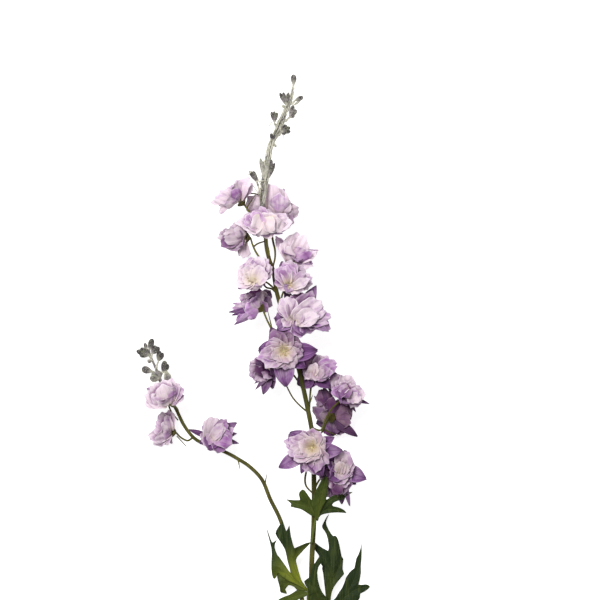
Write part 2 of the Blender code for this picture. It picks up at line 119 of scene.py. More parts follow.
# The calyx that a stalk swells into: its length, the radius at shares of it, how much wider it flares on
# blooms that turn away, its brown at foot and mouth, and how light its mouth stays
CALYX_LENGTH = 5.0
CALYX_PROFILE = ((0.15, 1.5), (0.35, 2.5), (0.6, 3.2), (0.85, 3.5), (1.0, 3.4))
CALYX_FLARE = 0.58
FACES_UP = 0.45
CALYX_BROWN = (0.15, 0.5)
CALYX_YOUNG = 0.25

# Stalks that bend on their way, and strands beside the stems: pixels of the photograph they pass, with their
# heights over the table
BENDS = {
    "01": ((255, 217, 39), (249.5, 212, 40)),
    "04": ((264, 263, 40), (257, 254, 41), (253, 246, 42)),
    "08": ((276, 335, 35), (268.5, 323, 33)),
    "13": ((321, 430, 37), (325, 420, 37), (331.5, 409, 33)),
    "14": ((321.5, 433, 32),),
    "18": ((187, 441.5, 9), (180, 438.3, 7)),
}
Strand = namedtuple("Strand", "radius points")
STRANDS = (
    Strand(0.85, ((241.5, 197, 41), (247, 194.3, 42), (254, 193.8, 42), (260, 195, 41))),
    Strand(0.9, ((254, 246.5, 42), (258, 243.6, 41), (265, 241.3, 40))),
    Strand(1.15, ((271.5, 233, 40), (273.4, 243, 40), (275, 250, 40), (275, 258, 40), (273, 267, 39))),
    Strand(0.95, ((309, 413, 33), (302, 407.5, 34), (293, 398, 33), (286, 385, 33))),
    Strand(1.1, ((306.5, 470, 30), (305, 480, 28), (306.5, 487, 26), (312, 493, 25))),
    Strand(0.9, ((167.5, 405, 13), (171, 413, 13), (177.5, 421, 13))),
    Strand(0.55, ((176, 437, 9), (181, 442.5, 8), (185.5, 447.5, 6))),
    Strand(1.0, ((262.5, 283, 42), (266.5, 287.5, 41), (272, 289, 40), (277, 294, 38))),
    Strand(0.8, ((294, 259, 44), (298, 263, 43), (301.5, 268, 43))),
)
STRAND_THINS = 0.75

# Bracts, thin green points: what each grows on, the branch or a bloom's stalk, where along it, and its tip
Bract = namedtuple("Bract", "on along tip")
BRACT_RADIUS = 0.8
BRACT_POINT = 0.06
BRACTS = (
    Bract("01", 0.85, (-55, 566, 41)),
    Bract("08", 0.45, (-44, 452, 31)),
    Bract("12", 0.30, (2, 366, 40)),
    Bract("14", 0.55, (28, 323, 20)),
    Bract("branch", 0.55, (-44, 287, 17)),
    Bract("branch", 0.67, (-71, 288, 14)),
)

# Each bloom: the foot of its calyx, the way it faces, the lengths of its petals and of its sepals, how far it
# is open from 0 to 1, its turn about its own axis in degrees, and how far along the stem or branch its stalk
# leaves
Bloom = namedtuple("Bloom", "name base facing petals sepals open turn parent leaves")
BLOOMS = (
    Bloom("01", (-70, 558, 42), (-0.72, 0.64, 0.25), 24, 22, 0.60, 10, "stem", 545),
    Bloom("02", (-36, 546, 22), (0.20, 0.75, -0.60), 27, 25, 0.75, 36, "stem", 520),
    Bloom("03", (-45, 525, 53), (0.00, 0.82, 0.57), 27, 24, 0.85, 30, "stem", 500),
    Bloom("04", (-65, 522, 43), (-0.92, 0.05, 0.38), 23, 20, 0.30, 50, "stem", 488),
    Bloom("05", (-20, 502, 42), (0.35, 0.85, 0.38), 24, 22, 0.75, 56, "stem", 480),
    Bloom("06", (-55, 483, 52), (-0.28, 0.18, 0.94), 21, 20, 0.80, 0, "stem", 462),
    Bloom("07", (-21, 479, 56), (0.20, 0.28, 0.94), 21, 20, 0.75, 40, "stem", 455),
    Bloom("08", (-51, 452, 33), (-0.66, 0.62, -0.25), 23, 25, 0.75, 40, "stem", 428),
    Bloom("09", (-12, 441, 58), (0.12, 0.50, 0.86), 27, 31, 0.85, 25, "stem", 415),
    Bloom("10", (-28, 406, 55), (0.00, 0.12, 0.99), 24, 32, 1.00, 54, "stem", 385),
    Bloom("11", (-39, 389, 31), (-0.62, -0.50, 0.40), 21, 25, 0.65, 10, "stem", 362),
    Bloom("12", (3, 384, 36), (0.20, 0.55, 0.81), 21, 25, 0.75, 24, "stem", 345),
    Bloom("13", (32, 362, 30), (0.55, 0.60, 0.58), 22, 24, 0.75, 18, "stem", 332),
    Bloom("14", (20, 342, 22), (0.45, -0.08, -0.88), 24, 26, 0.75, 35, "stem", 318),
    Bloom("15", (-1, 309, 54), (-0.08, 0.22, 0.97), 24, 34, 0.95, 12, "stem", 285),
    Bloom("16", (27, 291, 38), (0.55, 0.10, 0.83), 22, 28, 0.75, 45, "stem", 268),
    Bloom("17", (-143, 359, 33), (-0.45, 0.78, 0.42), 21, 18, 0.50, 0, "branch", 345),
    Bloom("18", (-140, 327, 8), (-0.88, 0.16, 0.44), 20, 17, 0.40, 30, "branch", 322),
    Bloom("19", (-101, 320, 18), (0.32, 0.62, 0.72), 21, 24, 0.75, 20, "branch", 312),
)

# How each bloom is coloured, from 0 to 1: its lilac petals, its violet sepals, its painted shade where it
# lies in shadow and its warm heart, how far the warmth reaches, and how much richer than written its own
# petals are
Look = namedtuple("Look", "petals sepals dusk warmth reach rich")
LOOKS = {
    "01": Look(0.10, 0.15, 0.00, 0.2, 8, -0.06),
    "02": Look(0.10, 0.25, 0.00, 0.1, 8, -0.12),
    "03": Look(0.02, 0.15, 0.00, 0.45, 13, -0.06),
    "04": Look(0.15, 0.15, 0.18, 0.1, 8, 0.06),
    "05": Look(0.02, 0.25, 0.00, 0.3, 9, -0.06),
    "06": Look(0.06, 0.15, 0.00, 0.8, 9, 0.07),
    "07": Look(0.15, 0.30, 0.05, 0.9, 8, 0.20),
    "08": Look(0.30, 0.70, 0.02, 0.2, 8, 0.16),
    "09": Look(0.28, 0.65, 0.10, 0.4, 9, 0.38),
    "10": Look(0.25, 0.80, 0.24, 0.9, 12, 0.45),
    "11": Look(0.55, 0.70, 0.20, 0.0, 8, 0.26),
    "12": Look(0.20, 0.85, 0.12, 0.5, 9, 0.26),
    "13": Look(0.25, 0.60, 0.16, 0.1, 8, 0.24),
    "14": Look(0.35, 0.65, 0.48, 0.0, 8, 0.18),
    "15": Look(0.20, 0.80, 0.24, 0.95, 13, 0.43),
    "16": Look(0.22, 0.85, 0.26, 0.7, 9, 0.38),
    "17": Look(0.08, 0.10, 0.10, 0.35, 9, 0.08),
    "18": Look(0.22, 0.15, 0.12, 0.1, 8, 0.00),
    "19": Look(0.22, 0.80, 0.26, 0.2, 7, 0.22),
}

# The outline of a petal, half its width along it as a share of its widest. A round one is part of an ellipse,
# widest and reaching as given; a pointed one rises and falls with a bulge and a fullness.
ROUND_WIDEST = 0.68
ROUND_REACH = 0.72
POINTED_BULGE = 0.97
POINTED_FULLNESS = 0.8

# The sheet of a petal: its points along and across, how they crowd towards its tip, and where it starts
PETAL_ROWS = 20
PETAL_COLUMNS = 21
ROW_CROWDING = 0.9
PETAL_FOOT = 0.02

# What differs between petals and sepals: where the sheet ends, how round its end is, how much its edge
# wavers, its folds and creases, how much its tip curls, its keel, how high over the calyx it is rooted, how
# much wider than written it is, and how much its rib arches
Sheeting = namedtuple("Sheeting", "end rounding waver folds creases curl keel rooted wider arch")
SHEETINGS = {
    "sepals": Sheeting(0.985, 0.0, 0.3, 0.08, 1, 0.3, 0.16, 1.4, 1.05, 0.12),
    "petals": Sheeting(1.0, 0.24, 1.0, 0.20, 3, 1.0, 0.0, 3.6, 1.25, 0.20),
}

# Waves over a petal: how many half waves fit across it, and how deep they are
EDGE_WAVES = ((1.2, 2.7), (0.035, 0.022))
WIDTH_WAVES = ((2.1, 4.3), (0.04, 0.025))
FOLD_WAVES = ((1.1, 2.3), (0.60, 0.45))
PLEAT_WAVES = ((5.0, 8.3), (0.6, 0.5))
USUAL_WIDTH = 6.5
FOLD_SWING = 0.2
FEWEST_FOLDS = 0.7
FOLDS_IN_MIDDLE = 0.30
PLEAT_DEPTH = 0.14
PLEATS_END = 1.15
CALM_WIDTH = 7.5
CREASE_SPREAD = 0.7
CREASE_FOOT = 0.35
CREASE_WIDTHS = (0.10, 0.22)
CREASE_DEPTHS = (-0.11, 0.06)
CURL_STARTS = 0.62
CURLS = (-0.34, 0.20)
CURL_WAVE = 0.12
CURL_WAVES = 2.2
TWIST = 0.25
CUP_AT_ROOT = 0.42
CUP_OVERALL = 0.16
CUP_FOOT = 0.3
CUP_GROWS = 0.25
KEEL_WIDTH = 0.16
RIM_THINS = 0.5
TABLE_BEND = 3.0

# A whorl of a bloom: lengths and widths in shares of the bloom's own lengths, angles in degrees above the
# bloom's face at a petal's root and tip, the height it grows at, how far off, in degrees, it keeps from
# petals that have a place of their own, and how loosely and askew it stands
Whorl = namedtuple("Whorl", "count length half_width start end height turn clear loose")
WHORLS = {
    "sepals": Whorl(5, 0.74, 0.34, 30, -6, 1.2, 0, 44, 0.0),
    "petals": Whorl(5, 0.90, 0.40, 46, 0, 4.0, 36, 42, 0.2),
}
HUB_RADIUS = 1.8
NOTCH = 0.16
ROOM = 0.72
CLOSED_RISE = math.radians(52)
SHARE_OF_RISE_AT_ROOT = 0.45
HEART_LEAN = math.radians(34)
LEAN_TURNS = 2.4
FRONT = 0.3

# How the petals of a whorl differ from each other, at least and at most
DIFFERENCES = {
    "reach": (-0.12, 0.08), "turn": (-0.15, 0.15), "start": (-0.08, 0.08),
    "end": (-0.2, 0.2), "tone": (-0.1, 0.15),
}

# A petal's part, its rib from its root to beyond its tip, the way its inner side looks along the rib, half
# its width, how coloured it is and how much painted shade it has; and the places along a rib
Petal = namedtuple("Petal", "part rib inward half_width tone dusk")
FINE = np.linspace(0.0, 1.1, 45)

# A petal with a place of its own: how far its bloom faces the view, how low it lies when that bloom turns
# away, how much its inner side turns to where the bloom faces, where its rib bends, and where and how its end
# bends
FACES_VIEW = 0.5
NEAR_LIFT = 7.0
TURN_TO_FACING = 0.4
BEND_AT = 0.42
END_STARTS = 0.55
END_BENDS = (-0.25, 0.15)

# The hub in a bloom, and the knob on a stamen: heights with the radius at each
HUB_PROFILE = ((1.0, 2.2), (2.5, 3.0), (4.6, 2.9), (6.0, 2.1), (6.8, 0.8))
KNOB_PROFILE = ((-0.35, 0.08), (0.0, 0.26), (0.45, 0.30), (0.9, 0.22), (1.2, 0.06))
HUB_LIFT = 5.0
HUB_SIDES = 12
HUB_TONE = 0.85
WARM_LIFT = 3.0

# Stamens: how many stand in open hearts and in others, where they start, how far they lean, the shares of the
# full length that they reach, and a thread's points, radii and tones
STAMENS = {"10": 26, "15": 12, "16": 10}
FEW_STAMENS = 5
STAMEN_FOOT = (0.8, 6.0)
STAMEN_LEANS = (0.25, 1.05)
STAMEN_LENGTHS = (0.65, 1.0)
STAMEN_POINTS = 5
STAMEN_RADII = (0.17, 0.10)
STAMEN_TONES = (0.3, 0.6)
CENTRE_SEED = 500

# Painted shade: petals darken where they lie beneath others, as in their shadow. The cells and the margin of
# the height map; for a close and a wide look, how many cells it reaches, where the painted shade starts, over
# which depth it grows and its weight; and how strong it is on the spike's lower and upper blooms and on the
# branch's
DEPTH_CELL = 0.8
DEPTH_MARGIN = 12.0
Depth = namedtuple("Depth", "cells starts grows weight")
DEPTHS = (Depth(1, 0.6, 6.0, 0.42), Depth(4, 1.0, 14.0, 0.58))
SHADE_BENEATH_STRENGTH = {"low": 1.6, "high": 0.55, "branch": 1.15}
DEPTH_EASES = (430, 500)

# Tints that multiply a petal's colour as painted shade, all over it and where it lies beneath other petals,
# and how fine its streaks are across it, along it and from petal to petal
OVERALL_SHADE_TINT = (0.28, 0.20, 0.25)
SHADE_BENEATH_TINT = (0.26, 0.085, 0.27)
STREAK_SCALES = (5.0, 0.9, 60.0)

# Sepals and petals with a place of their own: the tip's pixel in the photograph across and down, one to a
# millimetre, its height over the foot of the bloom, half the width, how coloured it is and how much painted
# shade it has, and for those that don't grow from the heart the pixel and height of their root
PLACED_SEPALS = {
    "01": ((250, 186, 0, 5.5, 0.0),),
    "02": ((284, 188, 0, 6, 0.2), (252, 212, 4, 5, -0.6)),
    "03": ((243, 217, -14, 6, 0.3), (262, 236, 10, 6, 0.3)),
    "04": ((235, 226, -4, 5, 0.2),),
    "05": ((318, 251, 0, 3.6, 0.05), (275, 239, -6, 5, 0.6), (313, 264, 6, 6, 0.35)),
    "06": ((238, 289, 0, 6, 0.0), (254, 291, 0, 5, 0.3)),
    "07": ((281, 261, -6, 7, 0.5, 0.45), (311, 281, -2, 6, 0.1)),
    "08": (
        (270, 290, -4, 6.5, 1.0, 0.6), (268, 303, -4, 5, 0.8, 0.4), (228, 312, 4, 2.6, 0.8, 0.4),
        (232, 303, 0, 2.6, 0.1), (231, 315, 6, 2.8, 0.9, 0.2), (234, 325, 6, 4, 0.5),
    ),
    "09": (
        (274, 319, 0, 8, 0.6), (277, 330, 4, 5.5, 0.7), (303, 335, 6, 8, 0.6), (329, 331, 6, 5, 0.3),
        (316, 285, -6, 6.5, 0.75), (284, 290, -8, 6, 0.9, 0.6),
    ),
    "10": (
        (271, 327, -2, 8, 0.6, 0.2), (293, 327, -3, 9, 0.8, 0.6), (318, 350, -2, 9, 1.0, 0.1),
        (306, 367, 0, 7, 0.7), (286, 387, -1, 9.5, 0.65), (271, 375, -2, 6, 1.0, 0.4),
    ),
    "11": (
        (263, 395, 2, 5, 0.6, 0.4), (273, 389, 0, 4.5, 0.5, 0.45), (255, 390, 4, 2.2, 0.6, 0.5),
        (254, 384, 2, 2.0, 0.5, 0.3),
    ),
    "12": (
        (297, 385, -1, 9, 1.0, 0.55), (305, 388, 0, 7, 1.0, 0.6), (313, 386, 3, 7, 1.0, 0.5),
        (323, 385, 2, 6.5, 1.0, 0.5), (331, 388, 1, 7, 0.9, 0.45), (297, 364, -4, 6, 1.0, 0.5),
        (337, 373, -2, 5, 0.8),
    ),
    "13": ((370, 404, 0, 2.4, 0.7, 0.5), (356, 412, 2, 2.4, 0.8, 0.7), (328, 386, -4, 6, 0.8, 0.3)),
    "14": (
        (321, 389, 4, 6.5, 0.7, 0.35), (314, 409, 4, 5.5, 0.45), (314, 396, 2, 3, 0.2),
        (358, 437, 4, 5, 1.0, 0.5),
    ),
    "15": (
        (278, 467, -2, 7.5, 0.6), (334, 436, -4, 6.5, 0.7), (343, 450, -2, 7.5, 0.65),
        (322, 476, 0, 8, 1.0, 0.35), (301, 473, 0, 4.5, 0.8),
    ),
    "16": (
        (367, 479, -4, 8, 0.65), (356, 485, -2, 6, 0.9), (342, 505, -12, 6, 0.9, 0.2),
        (350, 507, -12, 3, 0.6), (326, 464, 0, 7, 1.0, 0.5), (331, 502, -12, 5, 0.3),
        (318, 470, -6, 7, 1.0, 0.55), (322, 477, -8, 5, 0.9, 0.4),
    ),
    "17": ((176, 398, 0, 3, 0.0), (146, 388, -4, 6, 0.1)),
    "18": ((158, 446, 0, 6, 0.2),),
    "19": (
        (188, 430, 0, 2.8, 0.9, 0.4), (237, 423, -3, 6, 0.7), (237, 434, -2, 4.5, 0.7, 0.2),
        (239, 444, 0, 4, 0.7, 0.3), (199, 444, 4, 4, 1.0, 0.2), (214, 450, 4, 5, 0.9),
    ),
}
PLACED_PETALS = {
    "01": (
        (246, 177, 4, 8, 0.05, 0, 240, 200, 2), (251, 183, 2, 5.5, 0.1, 0, 242, 201, 1),
        (237, 181, 8, 6, 0.1, 0.08, 238, 200, 4), (227, 186, 4, 6.5, 0.15, 0.05, 235, 201, 3),
        (219, 192, 6, 6.5, 0.1, 0.03, 234, 203, 4), (215, 197, 8, 6, 0.0, 0, 234, 204, 5),
        (234, 189, 13, 5, 0.95, 0.25, 239, 201, 8), (225, 203, 12, 6, 0.05, 0.1, 238, 202, 6),
        (219, 214, 4, 3.2, 0.0, 0.2, 233, 203, 3), (211, 203, 4, 3, -0.05, 0.05, 226, 202, 5),
    ),
    "02": (
        (270, 183, 9, 11, -0.6, 0, 272, 216, 6), (283, 190, 9, 8, -0.5, 0, 278, 214, 5),
        (288, 199, 5, 6, -0.25, 0, 280, 215, 3), (279, 194, 16, 7.5, 0.42, 0, 279, 214, 8),
        (290, 204, 8, 3.5, -0.2, 0, 283, 214, 5), (299, 208, 2, 6, -0.1, 0.35, 284, 214, 1),
        (296, 215, 2, 5, 0.1, 0.4, 283, 215, 1), (293, 222, 2, 6, 0.2, 0.45, 282, 216, 1),
        (288, 220, 5, 5, 0.15, 0.35, 280, 216, 3), (249, 197, 14, 9, -0.3, 0, 265, 211, 10),
        (252, 207, 13, 7, -0.1, 0, 266, 213, 9), (266, 191, 4, 6, -0.25, 0, 270, 214, 2),
    ),
    "03": (
        (237, 222, -2, 7, -0.05), (244, 215, -5, 7.5, 0.35), (254, 210, -8, 8, 0.75), (261, 209, -8, 6, 0.35),
        (268, 208, -9, 7, -0.1), (278, 214, -6, 6, -0.05, 0, 270, 227, -3),
        (287, 214, -4, 6.5, 0.0, 0, 274, 229, -2), (291, 221, 0, 6, 0.0, 0, 275, 230, 0),
        (287, 229, 3, 4, 1.0, 0.4, 277, 226, 1), (246, 217, 9, 6.5, 0.7, 0, 259, 230, 8),
        (254, 212, 10, 6, 0.8, 0, 261, 228, 10), (270, 213, 6, 9, -0.1, 0, 266, 232, 3),
        (247, 231, 9, 7, -0.1, 0, 262, 224, 7), (262, 236, 13, 10, -0.12, 0, 265, 217, 9),
        (277, 232, 11, 8, -0.1, 0, 268, 220, 8), (284, 231, 6, 5, -0.05, 0.05, 274, 224, 5),
        (268, 239, 6, 6, 0.1, 0.05, 267, 226, 4), (252, 235, 5, 6, 0.05, 0.05, 264, 226, 4),
    ),
    "04": (
        (230, 226, 5, 6.5, 0.0, 0.1, 243, 235, 3), (220, 232, 1, 5, 0.3, 0.35, 238, 238, 0),
        (218, 237, 2, 4.5, -0.3, 0, 238, 239, 1), (220, 244, 4, 6, 0.75, 0.5, 240, 239, 2),
        (228, 249, 3, 7, 0.15, 0.25, 243, 239, 2), (235, 247, 5, 5.5, 0.0, 0.2, 244, 239, 3),
        (237, 225, 3, 6, 0.0, 0.05, 245, 234, 1), (224, 240, 11, 5, -0.2, 0.12, 244, 238, 7),
        (224, 233, 10, 4.5, -0.35, 0, 243, 236, 6), (235, 229, 13, 5.5, -0.25, 0.08, 246, 235, 8),
        (246, 258, 2, 5, -1.2, 0.05, 246, 243, 2), (239, 256, 0, 1.6, -0.15, 0.1, 243, 243, 0),
    ),
    "05": (
        (297, 233, -4, 9, -0.35, 0, 291, 262, 0), (305, 237, 0, 7.5, -0.35, 0, 293, 262, 1),
        (277, 237, -2, 4.5, 0.35, 0, 288, 262, 0), (283, 241, 3, 6, -0.1, 0, 289, 262, 1),
        (289, 247, 9, 5, -0.2, 0.05, 290, 263, 6), (305, 248, 8, 8, 0.6, 0, 296, 262, 5),
        (311, 252, 10, 4.5, 0.95, 0.2, 298, 261, 8), (316, 252, 4, 5, -0.1, 0, 299, 262, 3),
        (313, 264, 6, 7, -0.05, 0, 296, 262, 3), (319, 250, 0, 3, -0.05, 0, 303, 260, 0),
    ),
    "06": (
        (242, 263, 2, 7, -0.05, 0.03), (252, 257, 0, 7.5, 0.4), (262, 257, 0, 6.5, 0.0),
        (269, 260, 1, 7, 0.05), (273, 269, 3, 6.5, 0.0, 0.03), (238, 272, 3, 7, -0.05),
        (236, 283, 4, 7, -0.05), (243, 287, 5, 6, 0.0, 0.03), (254, 291, 4, 6.5, 0.3),
        (263, 286, 4, 5.5, 0.1), (263, 267, 11, 8, -0.05, 0.1, 256, 283, 7),
        (247, 266, 8, 5, 0.05, 0.05, 252, 277, 6), (243, 277, 9, 5.5, -0.1, 0, 252, 280, 6),
    ),
    "07": (
        (275, 275, 4, 7, 0.5, 0.05), (278, 267, 5, 7, 0.35), (285, 262, 5, 7, 0.2, 0.02),
        (292, 260, 1, 6, 0.2, 0.15), (298, 265, -1, 6, 0.1, 0.25), (305, 268, -2, 6.5, 0.1, 0.22),
        (311, 275, 3, 6.5, 0.0, 0.05, 292, 285, 2), (312, 283, 5, 5.5, 0.0, 0.1, 293, 286, 3),
        (303, 289, 9, 5, -0.1, 0, 290, 288, 4), (294, 291, 9, 5, 0.05, 0.05, 288, 286, 4),
        (284, 290, 8, 5.5, -0.05), (277, 284, 6, 6, -0.05), (303, 273, 9, 6.5, 0.1, 0.25, 291, 285, 6),
        (309, 279, 12, 4, -0.1, 0.05, 293, 288, 8), (281, 269, 10, 3.5, 1.0, 0.3, 286, 284, 6),
        (285, 266, 9, 4.5, 0.25, 0, 288, 284, 6),
    ),
    "08": (
        (243, 303, 4, 8, 0.4, 0.05, 260, 307, 1), (245, 313, 6, 8, 0.6, 0, 260, 308, 3),
        (240, 296, -2, 6, 0.1, 0.15, 258, 304, -2), (249, 291, 2, 8, -0.4, 0.12, 258, 307, 0),
        (257, 288, 2, 7, -0.4, 0.15, 261, 307, 0), (266, 290, -4, 7, 0.3, 0.65, 262, 306, -3),
        (271, 298, -5, 7, 0.45, 0.6, 262, 306, -4), (236, 322, 3, 4, 0.6, 0, 248, 311, 2),
        (233, 308, 2, 4, 0.2, 0.05, 248, 306, 1), (252, 298, 9, 5, 0.2, 0.25, 259, 308, 5),
        (268, 305, -2, 6, 0.7, 0.3, 258, 309, -2),
    ),
    "09": (
        (283, 297, 6, 8, -0.2, 0.04), (291, 297, 3, 6, -0.15, 0.08), (302, 291, 0, 8.5, 0.3, 0.45),
        (312, 293, 0, 7.5, 0.25, 0.36), (321, 301, 5, 7.5, -0.25), (326, 308, 5, 7, -0.2),
        (331, 314, 2, 7, 0.05, 0.05), (328, 321, 5, 6, 0.2, 0.1), (309, 307, 10, 8, -0.3, 0, 296, 321, 5),
        (318, 313, 12, 7.5, -0.3, 0, 298, 322, 6), (301, 313, 11, 4.5, -0.1, 0.2, 297, 321, 8),
        (278, 307, 3, 4.5, -0.1), (275, 322, -1, 7, 0.8, 0.1, 287, 320, -1),
        (280, 332, 0, 7, 0.6, 0.03, 288, 321, 0), (289, 335, 1, 7, 0.5, 0.03, 293, 322, 0),
        (299, 337, 2, 7, 0.55, 0.03, 299, 322, 0), (309, 334, 3, 6.5, 0.35, 0, 305, 321, 1),
        (318, 327, 5, 6, 0.2, 0, 308, 320, 2), (330, 329, 1, 5, 0.55, 0.2, 314, 321, 2),
        (284, 326, 6, 4.5, 0.1, 0, 289, 319, 5), (293, 327, 7, 4.5, 0.05, 0, 294, 319, 5),
        (303, 326, 7, 5, 0.05, 0, 300, 319, 5), (313, 323, 8, 4.5, 0.0, 0, 305, 318, 6),
    ),
    "10": (
        (271, 331, 3, 8, 0.4, 0.45), (283, 329, 3, 8.5, 0.35, 0.5), (294, 332, 3, 8, 0.4, 0.6),
        (301, 340, 4, 7.5, 0.35, 0.55), (304, 349, 6, 7, 0.15, 0.15), (302, 358, 7, 6.5, 0.0),
        (295, 367, 9, 6.5, 0.0), (286, 369, 9, 6.5, 0.0), (276, 367, 8, 6, 0.0), (266, 366, 8, 7, 0.0),
        (259, 358, 7, 7.5, 0.15), (260, 349, 6, 7, 0.2), (266, 342, 6, 7, 0.15, 0.12),
        (290, 362, 13, 5.5, 0.0), (273, 358, 12, 6, 0.0), (296, 353, 12, 5, 0.05, 0.05),
        (272, 345, 10, 6, 0.0, 0.1), (289, 341, 9, 6.5, 0.0, 0.3),
    ),
    "11": (
        (248, 364, 2, 8, 0.0, 0.12), (248, 374, 2, 7.5, 0.05, 0.14), (256, 380, 4, 6.5, 0.1, 0.16),
        (256, 360, 3, 7.5, 0.05, 0.1), (254, 370, 9, 6, 1.0, 0.8), (266, 379, 12, 4.5, 0.1, 0.2),
        (270, 377, 9, 4, 0.15, 0.28),
    ),
    "12": (
        (309, 357, 2, 7, 0.0, 0, 308, 370, 1), (319, 355, 1, 8, -0.15, 0, 312, 371, 1),
        (329, 357, 1, 7.5, -0.05, 0.05, 315, 371, 1), (336, 361, 2, 6, 0.5, 0, 317, 371, 2),
        (337, 367, 4, 5, 0.7, 0.1, 317, 373, 2), (332, 373, 7, 5.5, 0.6, 0.1, 315, 373, 4),
        (316, 363, 9, 4.5, -0.2, 0.02, 311, 375, 5), (322, 367, 10, 4.2, 0.25, 0.3, 317, 377, 6),
        (329, 369, 9, 4.2, 0.45, 0.25, 319, 376, 6), (303, 372, 6, 6, 0.0, 0.08, 311, 373, 3),
        (309, 379, 8, 5.5, 0.05, 0.1, 313, 372, 5), (318, 380, 9, 6, 0.1, 0.18, 316, 372, 5),
        (326, 379, 8, 5.5, 0.5, 0.2, 318, 373, 4),
    ),
    "13": (
        (334, 374, 0, 6, -0.7, 0, 339, 390, 0), (338, 379, 3, 4.5, -0.4, 0.1, 341, 390, 3),
        (348, 375, 0, 7.5, -0.8, 0, 345, 391, 1), (346, 381, 4, 5.5, -0.7, 0, 344, 391, 3),
        (331, 383, 3, 5, -0.1, 0.1, 341, 391, 2), (354, 381, 2, 5, -0.2, 0.1, 348, 392, 1),
        (331, 393, 9, 4, 0.65, 0, 343, 389, 6), (335, 397, 11, 4, 0.95, 0.3, 346, 389, 9),
        (342, 397, 13, 4, 1.0, 0.5, 350, 389, 11), (339, 391, 12, 3.5, 0.2, 0, 348, 387, 10),
        (358, 385, 4, 5.5, 0.05, 0.1, 350, 396, 2), (365, 391, 5, 6, -0.3, 0.02, 351, 397, 3),
        (364, 399, 5, 6, 0.0, 0.1, 350, 396, 3), (359, 406, 5, 6.5, 0.05, 0.25, 348, 395, 3),
        (350, 405, 5, 6, 0.05, 0.3, 347, 395, 3), (354, 388, 10, 4.5, 0.3, 0.1, 352, 399, 7),
        (361, 395, 10, 4.5, -0.35, 0.02, 352, 400, 8), (355, 403, 10, 5, -0.1, 0.2, 350, 396, 7),
    ),
    "14": (
        (351, 405, 4, 9.5, 0.0, 0.66), (352, 420, 5, 7.5, 0.0, 0.62), (342, 401, 0, 7, 0.05, 0.5),
        (321, 388, 4, 7, 0.3, 0.5), (331, 397, 7, 6, 0.9, 0.7), (318, 397, 0, 5, 0.0, 0.25),
        (313, 409, 2, 6.5, 0.25, 0.32), (320, 414, 4, 6, 0.0, 0.3),
    ),
    "15": (
        (302, 432, 4, 7, 0.1, 0.14), (312, 428, 3, 8, 0.1, 0.16), (320, 431, 4, 6, 0.05, 0.05),
        (325, 438, 7, 6.5, 0.0), (326, 447, 8, 6, 0.0), (293, 436, 6, 7, 0.0, 0.05),
        (284, 441, 5, 7, 0.05, 0.05), (288, 451, 7, 7, 0.0), (294, 458, 9, 7, 0.0, 0.03),
        (303, 460, 11, 6.5, 0.0), (313, 459, 12, 7, 0.0), (322, 455, 11, 6, 0.05),
        (304, 470, 2, 6, 0.2, 0.05), (314, 473, 2, 8, 0.2, 0.06), (327, 464, 4, 6.5, 0.15),
        (299, 444, 13, 6.5, 0.0), (305, 437, 12, 6, 0.05, 0.08), (305, 454, 14, 5.5, 0.0),
        (318, 453, 13, 5, 0.05, 0.12),
    ),
    "16": (
        (336, 455, 7, 6, -0.05, 0.1, 338, 472, 3), (345, 450, 6, 7.5, -0.05, 0.1, 340, 472, 3),
        (351, 457, 5, 6.5, 0.0, 0.1, 342, 472, 3), (352, 467, 5, 5.5, 0.0, 0.1, 343, 473, 3),
        (332, 465, 7, 5.5, -0.05, 0.12, 338, 475, 3), (332, 476, 8, 5.5, 0.0, 0.15, 340, 472, 4),
        (342, 479, 9, 6, 0.0, 0.15, 340, 470, 5), (350, 475, 7, 5, 0.05, 0.15, 342, 471, 4),
        (341, 461, 10, 4.5, -0.2, 0.08, 339, 473, 7), (347, 464, 10, 4, -0.2, 0.2, 341, 474, 6),
        (336, 463, 11, 4, 0.0, 0.1, 338, 474, 7), (330, 487, 2, 7, 0.0, 0.2, 337, 479, 1),
        (349, 484, 4, 6.5, 0.05, 0.15, 341, 478, 2), (348, 492, -1, 6, 0.05, 0.1, 342, 480, 0),
        (341, 484, 8, 6, -0.1, 0.1, 339, 477, 5), (335, 494, 9, 4.5, 1.0, 0.85, 339, 484, 9),
        (341, 495, 2, 4.5, 0.05, 0.2, 341, 484, 2), (328, 498, -10, 6, -0.1, 0.25, 334, 480, -6),
        (325, 474, 2, 4, 0.2, 0.2, 336, 470, 1), (319, 479, -6, 3, -0.4, 0.1, 330, 474, -6),
    ),
    "17": (
        (146, 392, -2, 7, -0.5, 0, 166, 405, -2), (145, 401, -2, 6.5, -0.5, 0, 166, 405, -1),
        (152, 384, -2, 7, -0.05, 0.08, 168, 403, -1), (161, 380, 0, 8, -0.35, 0.02, 169, 403, 0),
        (172, 379, 0, 7.5, 0.0, 0.05, 171, 403, 0), (180, 384, 1, 7, 0.25, 0.05, 172, 403, 0),
        (182, 392, 2, 6, 0.3, 0.1, 172, 404, 1), (177, 397, 3, 4.5, 0.3, 0.2, 171, 404, 2),
        (162, 385, 12, 9, -0.45, 0, 168, 405, 5), (174, 386, 9, 5, 0.3, 0.1, 170, 404, 5),
        (152, 395, 10, 6, -0.05, 0.06, 168, 405, 6), (158, 401, 11, 5.5, -0.1, 0, 169, 405, 6),
        (150, 401, 4, 6, -0.05, 0.04, 167, 405, 2),
    ),
    "18": (
        (166, 411, 4, 7, 0.15, 0.15, 171, 431, 2), (160, 414, 6, 7, 0.1, 0.1, 170, 432, 3),
        (156, 421, 7, 6.5, 0.05, 0.1, 170, 433, 4), (154, 430, 8, 6.5, 0.0, 0.08, 171, 434, 4),
        (148, 439, 5, 6.5, 0.0, 0.03, 170, 434, 3), (152, 444, 5, 6, 0.0, 0.05, 169, 435, 2),
        (160, 444, 6, 6, 0.15, 0.1, 169, 435, 3), (167, 442, 7, 5.5, 0.4, 0.35, 171, 436, 3),
